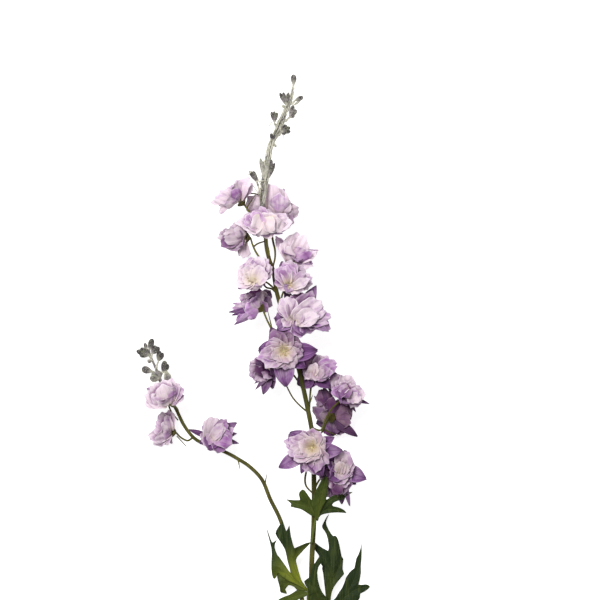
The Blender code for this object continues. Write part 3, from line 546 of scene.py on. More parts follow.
        (161, 424, 13, 5.5, 0.0, 0.05, 170, 432, 6), (155, 440, 13, 5.5, 0.1, 0.12, 169, 435, 6),
        (163, 437, 13, 4.5, 0.4, 0.3, 170, 434, 7), (165, 416, 12, 4.5, 0.25, 0.1, 170, 430, 6),
    ),
    "19": (
        (208, 423, 2, 6.5, 0.0, 0.06), (203, 430, 3, 5.5, 0.15, 0.15), (200, 437, 4, 5, 0.2, 0.15),
        (217, 417, 7, 9, -0.4, 0.02, 210, 440, 4), (226, 419, 5, 4.5, 0.3, 0.1, 212, 438, 3),
        (228, 425, 7, 4, 0.9, 0.15, 214, 438, 4), (232, 429, 1, 6, 0.6, 0.05, 215, 440, 1),
        (222, 426, 9, 4.5, -0.2, 0.05, 211, 440, 6), (233, 441, 9, 8, 0.85, 0, 214, 438, 6),
        (226, 450, 8, 8, 0.9, 0.03, 214, 439, 6), (215, 451, 6, 6.5, 0.8, 0.12, 211, 439, 4),
        (201, 442, 9, 5, 0.15, 0.03, 213, 439, 7), (207, 446, 9, 4.5, 0.2, 0.05, 213, 439, 7),
    ),
}
PLACED = {"sepals": PLACED_SEPALS, "petals": PLACED_PETALS}

# Where the petals of some blooms spring from, seen from above, in the photograph's pixels
HEARTS = {
    "03": (265, 227), "06": (252.5, 279), "07": (288.5, 284), "09": (294, 320), "10": (284, 351),
    "11": (268, 369), "13": (345, 393), "15": (312, 447), "16": (340, 467), "19": (212.5, 438),
}

# Buds, read off the photograph in its pixels: where a bud leaves the tip, its neck, the ends of its fingers,
# the width of a finger, its height over the tip and how dark it is
Bud = namedtuple("Bud", "foot neck ends width lift dark")
SPIKE_BUDS = (
    Bud((293.5, 90), (293.5, 85.5), ((293.7, 74.8),), 6.4, 0, 0.45),
    Bud((291, 105), (295, 101), ((303.2, 97.2),), 5.2, 0, 0.55),
    Bud((291, 109), (293, 106), ((300, 101.5),), 2.6, 1, 0.1),
    Bud((288, 110), (286, 105.5), ((279.7, 93.2), (283.2, 92.6), (288.6, 92.8)), 4.4, 1, 0.6),
    Bud((287, 112), (285.5, 107), ((281.8, 106.5),), 3.0, 1.5, 0.0),
    Bud((285, 122), (289.5, 117.5), ((293.5, 105.5), (296.6, 110), (294.5, 115)), 5.4, 0.5, 0.4),
    Bud((279, 135), (274.5, 123), ((271.3, 112), (274.2, 111.3), (277.2, 112.6)), 3.9, 1, 0.75),
    Bud((279, 136), (281.5, 131.5), (
        (286.5, 125), (290.3, 127.5), (290.6, 132), (285.5, 134.5),
    ), 4.8, 1.5, 0.8),
    Bud((276, 147), (272.6, 141.5), ((271, 133.4), (275.6, 132.2)), 3.9, 1.5, 1.0),
    Bud((266, 192), (265, 181), ((260.3, 158.3), (264.6, 160), (268.6, 157.2)), 5.0, 1.5, 0.2),
    Bud((266, 190), (267.5, 180), ((272, 159.6), (274.8, 163)), 4.8, 0.5, 0.6),
    Bud((262, 200), (257, 182), ((249.4, 171.2), (253, 171), (256, 176.5)), 4.8, 0.5, 0.6),
)
BRANCH_BUDS = (
    Bud((148, 353), (148.3, 350), ((151.6, 338.8),), 6.8, 0, 0.9),
    Bud((148.5, 356), (146, 350.5), ((143.8, 343),), 4.2, 0.5, 0.5),
    Bud((150, 358), (148, 355.5), ((135.4, 351), (138.5, 355), (139.6, 348.2), (145, 350)), 6.2, 0.5, 0.9),
    Bud((150, 360), (151, 354), ((158.8, 347.5), (155, 346)), 6.2, 1, 1.0),
    Bud((155, 370), (157.4, 361.5), ((162.4, 353), (158.8, 351)), 5.8, 0.5, 0.85),
    Bud((151, 361), (150.5, 360), ((147, 362.8),), 4.0, 1, 0.4),
    Bud((156, 374), (151, 371.8), ((140.8, 369),), 8.2, 0.5, 0.7),
    Bud((159, 378), (162, 372.5), ((164.4, 361), (167.4, 364.5)), 6.6, 0.5, 1.0),
    Bud((161, 373), (165, 371.5), ((168.2, 382.4),), 7.0, 1.5, 0.45),
    Bud((160, 380), (159, 378), ((149, 379), (151, 373.5), (156, 371)), 7.4, 0.5, 0.35),
)
BUD_PROFILE = ((0.0, 0.34), (0.10, 0.48), (0.26, 0.74), (0.46, 0.98), (0.64, 1.0), (0.80, 0.88), (0.91, 0.62),
               (0.97, 0.34), (1.0, 0.06))
BUD_STALK_RADIUS = 1.15
BUD_SIDES = 15
BUD_RIBS = 4
BUD_RIB_DEPTH = 0.13
FINGER_SPREAD = 0.25
FINGER_ARCH = 0.12
BUD_HAIRS = 70
BUD_HAIR_LENGTH = 0.6
BUD_TONE = 0.08
BUD_DARKENS = ((0, 3, 6), (0.0, 0.1, 0.9, 0.8))

# Painted light and shade by which way a bud faces: how dark its sides stay, and how much its top adds to that
SIDE_TONE = 0.38
CROWN_TONE = 0.95

# Loose threads across the spike's tip, each from pixel to pixel, and their height over the table
THREADS = (
    ((254.5, 181.6), (267.8, 181.0)), ((272.2, 121.5), (268.6, 127.6)), ((270, 141), (266.4, 148)),
    ((267.5, 147), (265, 158)), ((284, 133), (283, 140)), ((247.5, 176), (252.5, 170.5)),
    ((259.8, 196), (251.5, 183)), ((262.5, 190), (257.5, 177)), ((280, 121), (276.5, 127)),
)
THREAD_HEIGHT = 43.0
THREAD_ARCH = 0.6
LOOSE_RADII = (0.45, 0.55, 0.3)

# Wound threads: how their thickness runs, their radii, where the last starts, the shares of the tip that they
# cover, how far they wind about it and stand off its middle, and the way to their side
THREAD_PROFILE = (0.5, 1, 1, 1, 1, 1, 0.9, 0.3)
THREAD_RADII = (0.25, 0.55)
THREAD_STARTS = 0.92
THREAD_LENGTHS = (0.06, 0.16)
THREAD_TURN = 0.9
THREAD_REACH = (0.70, 1.08)
THREAD_SIDE = (0.92, -0.38, 0.0)

# Felted tips: points along the middle, the radius at each, the buds and loose threads, how many wound threads
# and hairs cover it, and the seed of its draws
Tip = namedtuple("Tip", "node route radii buds loose wound hairs seed")
TIPS = (
    Tip("spike_tip", (
        (-49, 552, 39), (-48.5, 562, 39), (-47.5, 573, 39), (-46, 584, 39), (-44.5, 593, 39.5),
        (-43, 601, 39.5), (-41, 611, 40), (-38, 620, 40.5), (-34, 627, 41), (-31.5, 632, 41),
        (-28.5, 641, 42), (-25, 650, 42.5), (-20.5, 660, 43), (-18.5, 668, 43.5), (-17.5, 676, 44),
    ), (
        3.2, 3.3, 3.7, 4.1, 3.6, 3.0, 2.5, 2.6, 3.4, 4.0, 2.9, 2.6, 1.7, 1.2, 1.0,
    ), SPIKE_BUDS, THREADS, 150, 1600, 71),
    Tip("branch_tip", (
        (-147, 370, 12), (-151, 378, 12), (-153.5, 383, 12), (-156, 391, 11.5), (-159, 398, 11),
        (-161.5, 404, 11), (-163, 410, 11),
    ), (1.5, 2.2, 3.2, 1.8, 1.5, 1.4, 1.0), BRANCH_BUDS, (), 14, 200, 72),
)
FELT_CORE = 0.70
FELT_TONE = 0.45
FELT_SIDES = 18
FELT_RIBS = 7
FELT_RIB_DEPTH = 0.12
HAIR_LEAN = 1.6
HAIR_WIDTH = 0.07
HAIR_DEPTH = 0.1
HAIR_ROOTED = 0.95
HAIR_STRAYS = 0.25
HAIR_LENGTHS = (0.45, 1.0)

# Cut leaves, read off the photograph. A leaf is a few thin sheets; a sheet has its outline and its ribs in
# the photograph's pixels, each point of a rib with its height over the table, how light it is, both its own
# tone and painted light and shade of how the sheet is turned, and how yellow at its foot
Sheet = namedtuple("Sheet", "light yellow outline ribs")
Leaf = namedtuple("Leaf", "node stalk sheets")
UPPER_SHEETS = (
    Sheet(0.75, 0.1, (
        (317, 518), (312, 516.5), (309, 514.5), (304, 511), (300.5, 509.2), (296, 508.2), (290.2, 506.8),
        (291.3, 504), (289, 502), (286, 499.5), (289, 499.8), (294, 500.3), (300, 500.2), (299.6, 497.5),
        (298.8, 494.5), (299.6, 491.7), (302.4, 489.3), (304.6, 490.3), (307.3, 494), (310.4, 498.6),
        (313, 502.5), (316.5, 509),
    ), (
        ((316, 518, 27.5), (309, 508, 30.5), (299, 504.5, 31.5), (286.5, 500, 31)),
        ((316, 516, 27.5), (309.5, 504, 31.5), (302.5, 490, 36)),
    )),
    Sheet(0.45, 0.2, (
        (315.5, 520), (314.2, 512), (311.8, 505), (311.6, 501), (313.6, 496), (315.8, 490), (317.4, 487.6),
        (319, 484), (320.8, 480.6), (323, 477.5), (326, 475.3), (327.8, 477.5), (328.4, 483), (327.4, 489),
        (326.6, 495), (326, 501), (323.5, 505), (320.5, 511), (319, 518), (318, 521.5),
    ), (((317, 521, 28), (319.5, 507, 33.5), (322.5, 492, 39), (326, 476, 45)),)),
    Sheet(0.32, 0.0, (
        (317, 519), (318.3, 510), (320, 503), (323, 500.5), (327.5, 499.3), (332, 496.2), (337, 494.2),
        (342, 492.4), (347, 492.3), (352.9, 492.2), (350, 494.2), (345.6, 496.5), (344, 499), (341, 500.4),
        (337, 501), (333.6, 502.8), (331.9, 505), (333.3, 506.6), (338, 507.6), (342, 509.2), (345, 511.2),
        (347, 513.9), (343, 513.2), (337, 512.8), (330, 513.2), (325, 514), (321, 515.4), (319, 518),
    ), (
        ((317, 519, 27.5), (325, 505, 32), (337, 497.5, 33), (352, 492.4, 31.5)),
        ((317, 519, 27.5), (325, 510.5, 29), (336, 510, 27.5), (346.5, 513.5, 24)),
    )),
)
LEFT_SHEETS = (
    Sheet(0.35, 1.0, (
        (309, 592), (303, 587), (299, 583.4), (294, 579.5), (290.5, 574), (289.5, 569), (287.5, 562),
        (286.3, 556), (285, 550.5), (282.5, 546), (279.5, 541.5), (277, 538), (275.2, 534.3), (276.5, 530.5),
        (279.3, 526.3), (281.4, 524), (282.7, 520.8), (283.3, 524.5), (284.2, 528.5), (286.1, 532),
        (287.8, 529.5), (289.3, 525.3), (290, 530), (290.9, 537), (292.6, 544), (294.4, 549.2), (298, 547.7),
        (303, 545.5), (307, 544), (311, 543.5), (309.5, 545.7), (305, 550), (300, 555), (297, 558.5),
        (295.9, 561), (297, 566), (299, 573.5), (301, 580), (303.8, 586.5), (307, 590),
    ), (
        ((308, 591, 17.6), (298, 577, 20), (291.5, 560, 21), (285.5, 540, 20), (282.4, 523, 19)),
        ((292, 556, 21), (290, 542, 20.5), (289.2, 527, 19)),
        ((295, 562, 20), (300, 552.5, 17), (310.5, 544, 12.5)),
    )),
    Sheet(0.5, 0.9, (
        (308, 592), (301, 588), (296, 585.2), (291, 583.2), (286, 580.8), (281, 577), (277.5, 574.2),
        (276.5, 578.3), (274.6, 580.9), (272.9, 580), (271.7, 576), (271.2, 570), (271.2, 563), (271.6, 556),
        (271.2, 550), (269.2, 542), (267.3, 535), (266.2, 529), (268, 534.5), (270.4, 541), (272, 544.4),
        (273.6, 543.6), (276.9, 541.2), (274.8, 545.8), (274.4, 549), (275.4, 552.5), (277.2, 556.5),
        (280, 559.5), (284, 565), (288, 571), (291, 574.7), (296, 579), (302, 584.5),
    ), (
        ((308, 591, 17.4), (295, 582, 18.5), (285, 572.5, 17), (275.5, 560, 11), (272.5, 548, 7),
         (266.5, 530, 5)),
        ((285, 574, 16), (278, 573, 12), (274.3, 580, 9)),
    )),
    Sheet(0.2, 0.3, (
        (308, 593), (301, 592.3), (297, 591.4), (294, 588.2), (291, 586.9), (288.3, 586.7), (287, 588.5),
        (285.1, 591.3), (286, 593.5), (287, 596), (284, 595.4), (280.2, 594.6), (279.5, 589), (278, 583),
        (276.8, 577.5), (276.6, 573), (281, 575.5), (286, 579), (291, 581.8), (296, 584), (303, 587.5),
    ), (
        ((308, 591.5, 16.5), (295, 585.5, 16), (285, 580, 13), (277.5, 575, 9)),
        ((290, 583, 14), (283.5, 588, 9), (283.5, 595, 4.5)),
    )),
    Sheet(0.5, 0.2, (
        (310, 594), (304, 592.6), (297, 591.2), (293, 594), (289, 596.5), (284, 598.3), (280.5, 600),
        (275, 604), (270, 609), (277, 609.5), (284, 608), (292, 604.5), (299, 600.5), (306, 597.5),
    ), (((309, 594, 17), (297, 597, 16), (285, 602, 11), (271, 608.6, 4)),)),
)
RIGHT_SHEETS = (
    Sheet(0.15, 0.1, (
        (326, 614), (319, 613), (312, 608), (308.5, 600), (309, 595), (308.2, 590), (305.4, 586),
        (304, 582.4), (306.3, 580.4), (310, 577.6), (311.3, 571), (312.5, 565.5), (314.9, 564), (316.8, 561),
        (319.4, 557), (321, 560), (320.5, 564.5), (318.3, 568), (317.3, 573), (318, 581), (320, 588.5),
        (322.6, 594), (326.6, 599), (329, 606), (329, 612),
    ), (
        ((327, 613, 8), (317, 596, 17), (314.3, 580, 22.5), (315.5, 569, 24.5), (319.3, 558, 25)),
        ((316, 593, 18), (311, 587, 20), (304.6, 582.8, 20.5)),
    )),
    Sheet(0.1, 0.15, (
        (328, 614), (326.4, 606), (326, 600), (325.2, 592), (324.2, 583), (323.3, 575), (322.1, 570),
        (322.8, 568), (321.3, 565.7), (319.6, 564.6), (319.6, 560), (319, 557), (316.6, 553.8),
        (315.2, 552.3), (314.6, 548), (315, 543.8), (318.5, 546.8), (323, 549.8), (328.4, 552.4), (329, 549),
        (328.7, 545.5), (328, 540.5), (326.5, 535.5), (324.5, 532), (322.5, 529.5), (322.1, 527.3),
        (324, 523.5), (326.4, 519), (329.6, 515), (327.3, 519.3), (326, 523), (326.8, 527), (329, 531.5),
        (331.8, 535.8), (333.4, 537.6), (335.5, 537), (337.1, 538.2), (338.3, 541), (339.6, 546.5),
        (340.9, 553), (341.8, 558), (343.7, 560.6), (343.2, 565), (342.9, 571), (344.6, 575.6), (341.5, 579),
        (337.5, 584), (334, 589), (332, 594), (331, 600), (331, 607), (330, 614),
    ), (
        ((329, 614, 7), (331, 592, 10), (333.5, 568, 12), (331.5, 546, 10.5), (325, 530, 8.5),
         (329, 516, 6)),
        ((332, 576, 11.5), (325, 560, 10), (315.5, 546, 7.5)),
        ((332, 585, 10.5), (338, 572, 9), (343.4, 561.5, 6)),
    )),
    Sheet(0.0, 0.0, (
        (330, 614), (331, 607), (333, 603), (336, 600), (339, 595), (342.5, 590), (344.5, 585.5),
        (346.5, 579.5), (349.5, 575), (352, 572.5), (354.8, 570.5), (355.7, 566), (356.8, 560.5),
        (359, 556.5), (360.8, 551.5), (361.9, 545), (362.2, 552), (362, 560), (361.3, 568), (361.4, 575),
        (360.4, 581.5), (358.9, 587), (362, 587.1), (366.5, 586.6), (369, 587.4), (370.8, 589),
        (368.5, 591.5), (365, 594), (360.7, 596), (360.4, 600), (357, 606), (349, 611), (340, 614),
    ), (
        ((331, 613, 6.5), (343, 602, 3.2), (353, 585, 1.6), (359, 567, 1.0), (361.8, 547, 0.7)),
        ((345, 600, 2.8), (356, 592, 2.0), (370, 589, 1.6)),
    )),
)
LEAVES = (
    Leaf("leaf_upper", ((0.5, 216, 24.9), (2.5, 229, 26.8), (5, 243, 28.2)), UPPER_SHEETS),
    Leaf("leaf_left", ((-3.3, 150, 15.1), (-3.2, 160, 16.2), (-3.4, 171, 17.6)), LEFT_SHEETS),
    Leaf("leaf_right", ((2.5, 110, 7.4), (9, 127, 7), (18, 147, 7)), RIGHT_SHEETS),
)
LEAF_STALK_RADIUS = 1.2
LEAF_EDGE = 0.8
LEAF_GRID = 1.25
LEAF_CLEAR = 0.65
LEAF_RIB_RADII = (0.5, 0.12)
CORNERS_EASE = 0.18
LEAF_OFF_TABLE = 0.05

# How a leaf rises beside its ribs, falls further off and ripples
LEAF_RISE = 0.30
LEAF_FALL = 0.022
LEAF_RIPPLE = 0.3
LEAF_RIPPLE_LENGTH = 3.1
LEAF_RIPPLE_GROWS = 5

# How far from its foot a leaf is young, and over which stretch it then darkens
YOUNG_REACH = 37.0
YOUNG_FADE = 20.0

# The photograph's view: how much of the table it takes in, and the spot in its middle
VIEW_WIDTH = 600.0
VIEW_MIDDLE = (-11.0, 460.0)
VIEW_HEIGHT = 35.0
CAMERA_DISTANCE = 4000.0
CAMERA_SEES = 20.0

# The table's half side and how far it lies under the part, in metres, its grain, and how the soft light falls
TABLE_HALF = 3.0
TABLE_DROP = 0.0002
TABLE_GRAIN = (0.56, 0.56, 0.56)
LIGHT_FALLS = (0.32, -0.45, -1.0)


# Settings

def colour(name, description, default):
    return bpy.props.FloatVectorProperty(
        name=name, description=description, default=default, subtype="COLOR", size=3, min=0.0, max=1.0)


def length(name, description, default):
    return bpy.props.FloatProperty(
        name=name, description=description, default=default * MM, min=0.0, soft_max=10 * default * MM,
        precision=5, subtype="DISTANCE", unit="LENGTH")


def share(name, description, default, most=1.0):
    return bpy.props.FloatProperty(
        name=name, description=description, default=default, min=0.0, max=most, subtype="FACTOR")


def strength(name, description, default):
    return bpy.props.FloatProperty(name=name, description=description, default=default, min=0.0)


class DelphiniumSizes(bpy.types.PropertyGroup):
    petal_thickness: length("Petal thickness", "Thickness of petals and sepals", 0.35)
    leaf_thickness: length("Leaf thickness", "Thickness of the cut leaves", 0.5)
    hair_length: length("Hair length", "Longest hairs of the felted tips and buds", 1.5)
    filament_length: length("Filament length", "Length of a stamen's thread", 6.5)
    ruffle: share("Ruffle", "How deep the petals' edges wave", 1.0, 3.0)
    unevenness: share("Unevenness", "How much the petals of one whorl differ", 1.0, 3.0)


class DelphiniumColours(bpy.types.PropertyGroup):
    petal_heart: colour("Petal heart", "Yellow-cream at the root of a petal", (0.80, 0.66, 0.36))
    petal_cream: colour("Petal cream", "Cream a little further out", (0.95, 0.84, 0.72))
    petal_pale: colour("Petal pale", "Pale pink of the petals", (0.88, 0.745, 0.81))
    # Its pale rim is partly the petal's own edge and partly a painted highlight
    petal_rim_and_highlight: colour("Petal rim", "Edge of a pale petal", (0.94, 0.83, 0.91))
    petal_blush: colour("Petal blush", "Lilac blush on a petal", (0.64, 0.37, 0.68))
    petal_lilac: colour("Petal lilac", "Deepest lilac of a petal", (0.37, 0.14, 0.42))
    sepal_pale: colour("Sepal pale", "Pale lilac of the upper blooms' sepals", (0.52, 0.32, 0.57))
    sepal_violet: colour("Sepal violet", "Violet of the lower blooms' sepals", (0.24, 0.085, 0.29))
    sepal_deep: colour("Sepal deep", "Dark violet towards a sepal's root and point", (0.07, 0.018, 0.085))
    stamen: colour("Stamen", "Yellow-green threads and anthers", (0.42, 0.35, 0.12))
    stem_green: colour("Stem green", "Olive green of the stem", (0.040, 0.042, 0.007))
    stem_light: colour("Stem light", "Olive streaks of the stem", (0.140, 0.133, 0.033))
    stem_brown: colour("Stem brown", "Brown tinge of the stem and calyx", (0.055, 0.032, 0.010))
    leaf_green: colour("Leaf green", "Green of the leaves", (0.041, 0.063, 0.011))
    leaf_dark: colour("Leaf dark", "Dark bluish green of the lowest leaf", (0.014, 0.026, 0.008))
    leaf_light: colour("Leaf light", "Ribs and streaks of a leaf", (0.090, 0.114, 0.025))
    leaf_young: colour("Leaf young", "Yellow-green foot of a leaf", (0.195, 0.220, 0.016))
    felt: colour("Felt", "Pale grey-green down of the tips", (0.76, 0.74, 0.61))
    felt_green: colour("Felt green", "Green under the down", (0.19, 0.21, 0.11))
    bud: colour("Bud", "Grey-lilac of the closed buds", (0.23, 0.205, 0.21))
    bud_dark: colour("Bud dark", "Dark points of the closed buds", (0.035, 0.030, 0.032))
    hair: colour("Hair", "Pale hairs", (0.74, 0.72, 0.64))
    table: colour("Table", "Pale table", (0.60, 0.60, 0.60))


class DelphiniumStage(bpy.types.PropertyGroup):
    key_light: strength("Key light", "Strength of the soft light from above the tip", 3.0)
    key_softness: bpy.props.FloatProperty(
        name="Softness", description="Width of the soft light as seen from the table",
        default=math.radians(22), min=0.0, max=math.pi, subtype="ANGLE")
    table_glow: strength("Table glow", "Strength of the light that comes through the table", 0.80)
    room_light: strength("Room light", "Strength of the even light all round", 0.42)


# Meshes

class Shape:
    """Points, faces and values at the points, gathered for one piece."""

    def __init__(self):
        self.points = []
        self.faces = []
        self.values = {}
        self.count = 0

    def add(self, points, faces, **values):
        points = np.asarray(points, float).reshape(-1, 3)
        for key, given in values.items():
            held = self.values.setdefault(key, [np.zeros(self.count)] if self.count else [])
            held.append(np.broadcast_to(np.asarray(given, float).reshape(-1), len(points)))
        for key, held in self.values.items():
            if key not in values:
                held.append(np.zeros(len(points)))
        self.points.append(points)
        self.faces += (np.asarray(faces) + self.count).tolist()
        self.count += len(points)

    def make(self, name, finish, slot, *nodes):
        """The piece as an object that rides on the part and stands for its nodes."""
        mesh = bpy.data.meshes.new(name)
        mesh.from_pydata(((np.concatenate(self.points) + FOOT) * MM).tolist(), [], self.faces)
        for key, held in self.values.items():
            mesh.attributes.new(key, "FLOAT", "POINT").data.foreach_set("value", np.concatenate(held))
        mesh.materials.append(finish)
        mesh.shade_smooth()
        made = add_object(name, mesh)
        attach(made, "root")
        if nodes:
            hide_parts(*nodes)
        return made


def add_object(name, data):
    made = bpy.data.objects.new(name, data)
    bpy.context.scene.collection.objects.link(made)
    return made


def at_pixel(u, v, z=0.0):
    """The place under a pixel of the photograph, which shows a millimetre in each pixel."""
    return np.array((u - PHOTO_FOOT[0], PHOTO_FOOT[1] - v, z))


def unit(vectors):
    return vectors / np.maximum(np.linalg.norm(vectors, axis=-1, keepdims=True), TINY)


def sideways(direction):
    """A direction square to the given one."""
    return np.array(Vector(direction).orthogonal().normalized())


def smooth_route(route, steps=5):
    """More points along a route, on a smooth curve through its own points."""
    route = np.asarray(route, float)
    ends = np.concatenate([[2 * route[0] - route[1]], route, [2 * route[-1] - route[-2]]])
    points = []
    for a, b, c, d in zip(ends, ends[1:], ends[2:], ends[3:]):
        for step in range(steps):
            t = step / steps
            points.append(0.5 * (2 * b + (c - a) * t + (2 * a - 5 * b + 4 * c - d) * t ** 2
                                 + (3 * b - a - 3 * c + d) * t ** 3))
    return np.array([*points, route[-1]])


def bent_line(root, bend, tip, shares):
    """Points at shares of the curve from a root towards a bend and on to a tip."""
    t = np.asarray(shares)[:, None]
    return root * (1 - t) ** 2 + bend * 2 * t * (1 - t) + tip * t ** 2


def distances(route):
    """How far along a route each of its points is, from 0 to 1."""
    lengths = np.linalg.norm(np.diff(route, axis=0), axis=1)
    return np.concatenate([[0.0], np.cumsum(lengths)]) / lengths.sum()


def along_line(shares, spread, line):
    """Values of a line at shares of it, its own points being spread out as given."""
    return np.stack([np.interp(shares, spread, line[:, axis]) for axis in range(line.shape[1])], axis=-1)


def tube(shape, route, radii, sides, ribs=0, rib_depth=0.0, **values):
    """A rod along a route, with ribs along it, closed at both ends."""
    route = np.asarray(route, float)
    along = unit(np.gradient(route, axis=0))
    across = sideways(along[0])
    turns = FULL_TURN * np.arange(sides) / sides
    swell = 1 + rib_depth * np.cos(ribs * turns)
    rings = []
    for point, direction, radius in zip(route, along, np.broadcast_to(radii, len(route))):
        across = unit(across - direction * (across @ direction))
        beside = np.cross(direction, across)
        ring = np.outer(np.cos(turns), across) + np.outer(np.sin(turns), beside)
        rings.append(point + ring * (radius * swell)[:, None])
    points = np.concatenate([*rings, route[:1], route[-1:]])
    faces = []
    for row in range(len(route) - 1):
        for side in range(sides):
            a, b = row * sides + side, row * sides + (side + 1) % sides
            faces.append((a, b, b + sides, a + sides))
    repeated = {}
    for key, given in values.items():
        given = np.broadcast_to(given, len(route))
        repeated[key] = np.concatenate([np.repeat(given, sides), given[:1], given[-1:]])
    start = shape.count
    shape.add(points, faces, **repeated)
    first, last = start + len(points) - 2, start + len(points) - 1
    top = start + (len(route) - 1) * sides
    for side in range(sides):
        after = (side + 1) % sides
        shape.faces.append((start + after, start + side, first))
        shape.faces.append((top + side, top + after, last))


@functools.lru_cache
def grid_faces(rows, columns):
    """Faces of a closed sheet over a grid: its upper side, its lower side and its rim."""
    numbers = np.arange(rows * columns).reshape(rows, columns)
    corners = numbers[:-1, :-1], numbers[1:, :-1], numbers[1:, 1:], numbers[:-1, 1:]
    upper = np.stack(corners, axis=-1).reshape(-1, 4)
    lower = upper[:, ::-1] + rows * columns
    loop = np.concatenate([numbers[:-1, 0], numbers[-1, :-1], numbers[:0:-1, -1], numbers[0, :0:-1]])
    after = np.roll(loop, -1)
    rim = np.stack([loop, loop + rows * columns, after + rows * columns, after], axis=-1)
    return np.concatenate([upper, lower, rim])


def above_table(points, clearance):
    """Points bent so that they stay above the table where they would go through it."""
    depth = np.minimum(points[..., 2] - clearance - TABLE_BEND, 0.0)
    bent = points.copy()
    bent[..., 2] = np.where(depth < 0, clearance + TABLE_BEND * np.exp(depth / TABLE_BEND), points[..., 2])
    return bent


# Materials

class Finish:
    """A material in the making. Each call adds a node and gives back its output."""

    def __init__(self, name, roughness, specular=0.5, sheen=0.0):
        self.material = bpy.data.materials.new(name)
        self.material.use_nodes = True
        self.tree = self.material.node_tree
        self.shader = self.tree.nodes["Principled BSDF"]
        self.output = self.tree.nodes["Material Output"]
        self.shader.inputs["Roughness"].default_value = roughness
        self.shader.inputs["Specular IOR Level"].default_value = specular
        self.shader.inputs["Sheen Weight"].default_value = sheen

    def node(self, kind, **settings):
        made = self.tree.nodes.new(kind)
        made.location = (-200.0 * len(self.tree.nodes), 0.0)
        for key, given in settings.items():
            setattr(made, key, given)
        return made

    def put(self, socket, given):
        if isinstance(given, bpy.types.NodeSocket):
            self.tree.links.new(given, socket)
        elif socket.type == "RGBA":
            socket.default_value = (*given, 1.0)
        else:
            socket.default_value = given

    def values(self, *names):
        return [self.node("ShaderNodeAttribute", attribute_name=name).outputs["Fac"] for name in names]

    def maths(self, operation, first, second=0.0, clamp=False):
        made = self.node("ShaderNodeMath", operation=operation, use_clamp=clamp)
        self.put(made.inputs[0], first)
        self.put(made.inputs[1], second)
        return made.outputs[0]

    def plus(self, first, second, clamp=False):
        return self.maths("ADD", first, second, clamp)

    def less(self, first, second):
        return self.maths("SUBTRACT", first, second)

    def times(self, first, second):
        return self.maths("MULTIPLY", first, second)

    def fade(self, given, low, high, least=0.0, most=1.0):
        """Rises smoothly from least to most while given goes from low to high."""
        made = self.node("ShaderNodeMapRange", interpolation_type="SMOOTHSTEP")
        self.put(made.inputs["Value"], given)
        for name, amount in zip(("From Min", "From Max", "To Min", "To Max"), (low, high, least, most)):
            made.inputs[name].default_value = amount
        return made.outputs["Result"]

    def mix(self, amount, first, second, blend="MIX"):
        made = self.node("ShaderNodeMix", data_type="RGBA", blend_type=blend)
        self.put(made.inputs[0], amount)
        self.put(made.inputs[6], first)
        self.put(made.inputs[7], second)
        return made.outputs[2]

    def ramp(self, amount, *stops):
        made = self.node("ShaderNodeValToRGB")
        self.put(made.inputs[0], amount)
        elements = made.color_ramp.elements
        while len(elements) < len(stops):
            elements.new(1.0)
        for element, (place, given) in zip(elements, stops):
            element.position = place
            element.color = (*given, 1.0)
        return made.outputs[0]

    def cloudy(self, where, scale, detail):
        made = self.node("ShaderNodeTexNoise")
        self.put(made.inputs["Vector"], where)
        made.inputs["Scale"].default_value = scale
        made.inputs["Detail"].default_value = detail
        return made.outputs["Fac"]

    def noise(self, scale, detail=2.0, stretch=(1.0, 1.0, 1.0)):
        """Cloudy values from 0 to 1 over the part, scale of them to a metre."""
        where = self.node("ShaderNodeTexCoord").outputs["Object"]
        stretched = self.node("ShaderNodeMapping")
        stretched.inputs["Scale"].default_value = stretch
        self.put(stretched.inputs["Vector"], where)
        return self.cloudy(stretched.outputs[0], scale, detail)

    def clouds(self, scale, detail, *fading):
        return self.fade(self.noise(scale, detail), *fading)

    def streaks(self, across, along, draw):
        """Cloudy streaks from 0 to 1 that run along a petal."""
        where = self.node("ShaderNodeCombineXYZ")
        for socket, given, scale in zip(where.inputs, (across, along, draw), STREAK_SCALES):
            self.put(socket, self.times(given, scale))
        return self.cloudy(where.outputs[0], 1.0, 4.0)

    def lines(self, given, pitch, sharpness):
        """Thin lines, 1 on each line, wherever given passes a multiple of pitch."""
        wave = self.maths("COSINE", self.times(given, FULL_TURN / pitch))
        half = self.maths("MULTIPLY_ADD", wave, 0.5)
        half.node.inputs[2].default_value = 0.5
        return self.maths("POWER", half, sharpness)

    def bump(self, height, depth, strength=1.0):
        made = self.node("ShaderNodeBump")
        self.put(made.inputs["Height"], height)
        made.inputs["Distance"].default_value = depth * MM
        made.inputs["Strength"].default_value = strength
        self.put(self.shader.inputs["Normal"], made.outputs[0])
        return made.outputs[0]

    def paint(self, given, normal=None, through=0.0):
        """Colours the shader, and lets a share of the light through a thin sheet."""
        self.put(self.shader.inputs["Base Color"], given)
        if through:
            veil = self.node("ShaderNodeBsdfTranslucent")
            self.put(veil.inputs["Color"], given)
            self.put(veil.inputs["Normal"], normal)
            both = self.node("ShaderNodeMixShader")
            both.inputs[0].default_value = through
            self.put(both.inputs[1], self.shader.outputs[0])
            self.put(both.inputs[2], veil.outputs[0])
            self.put(self.output.inputs["Surface"], both.outputs[0])
        return self.material


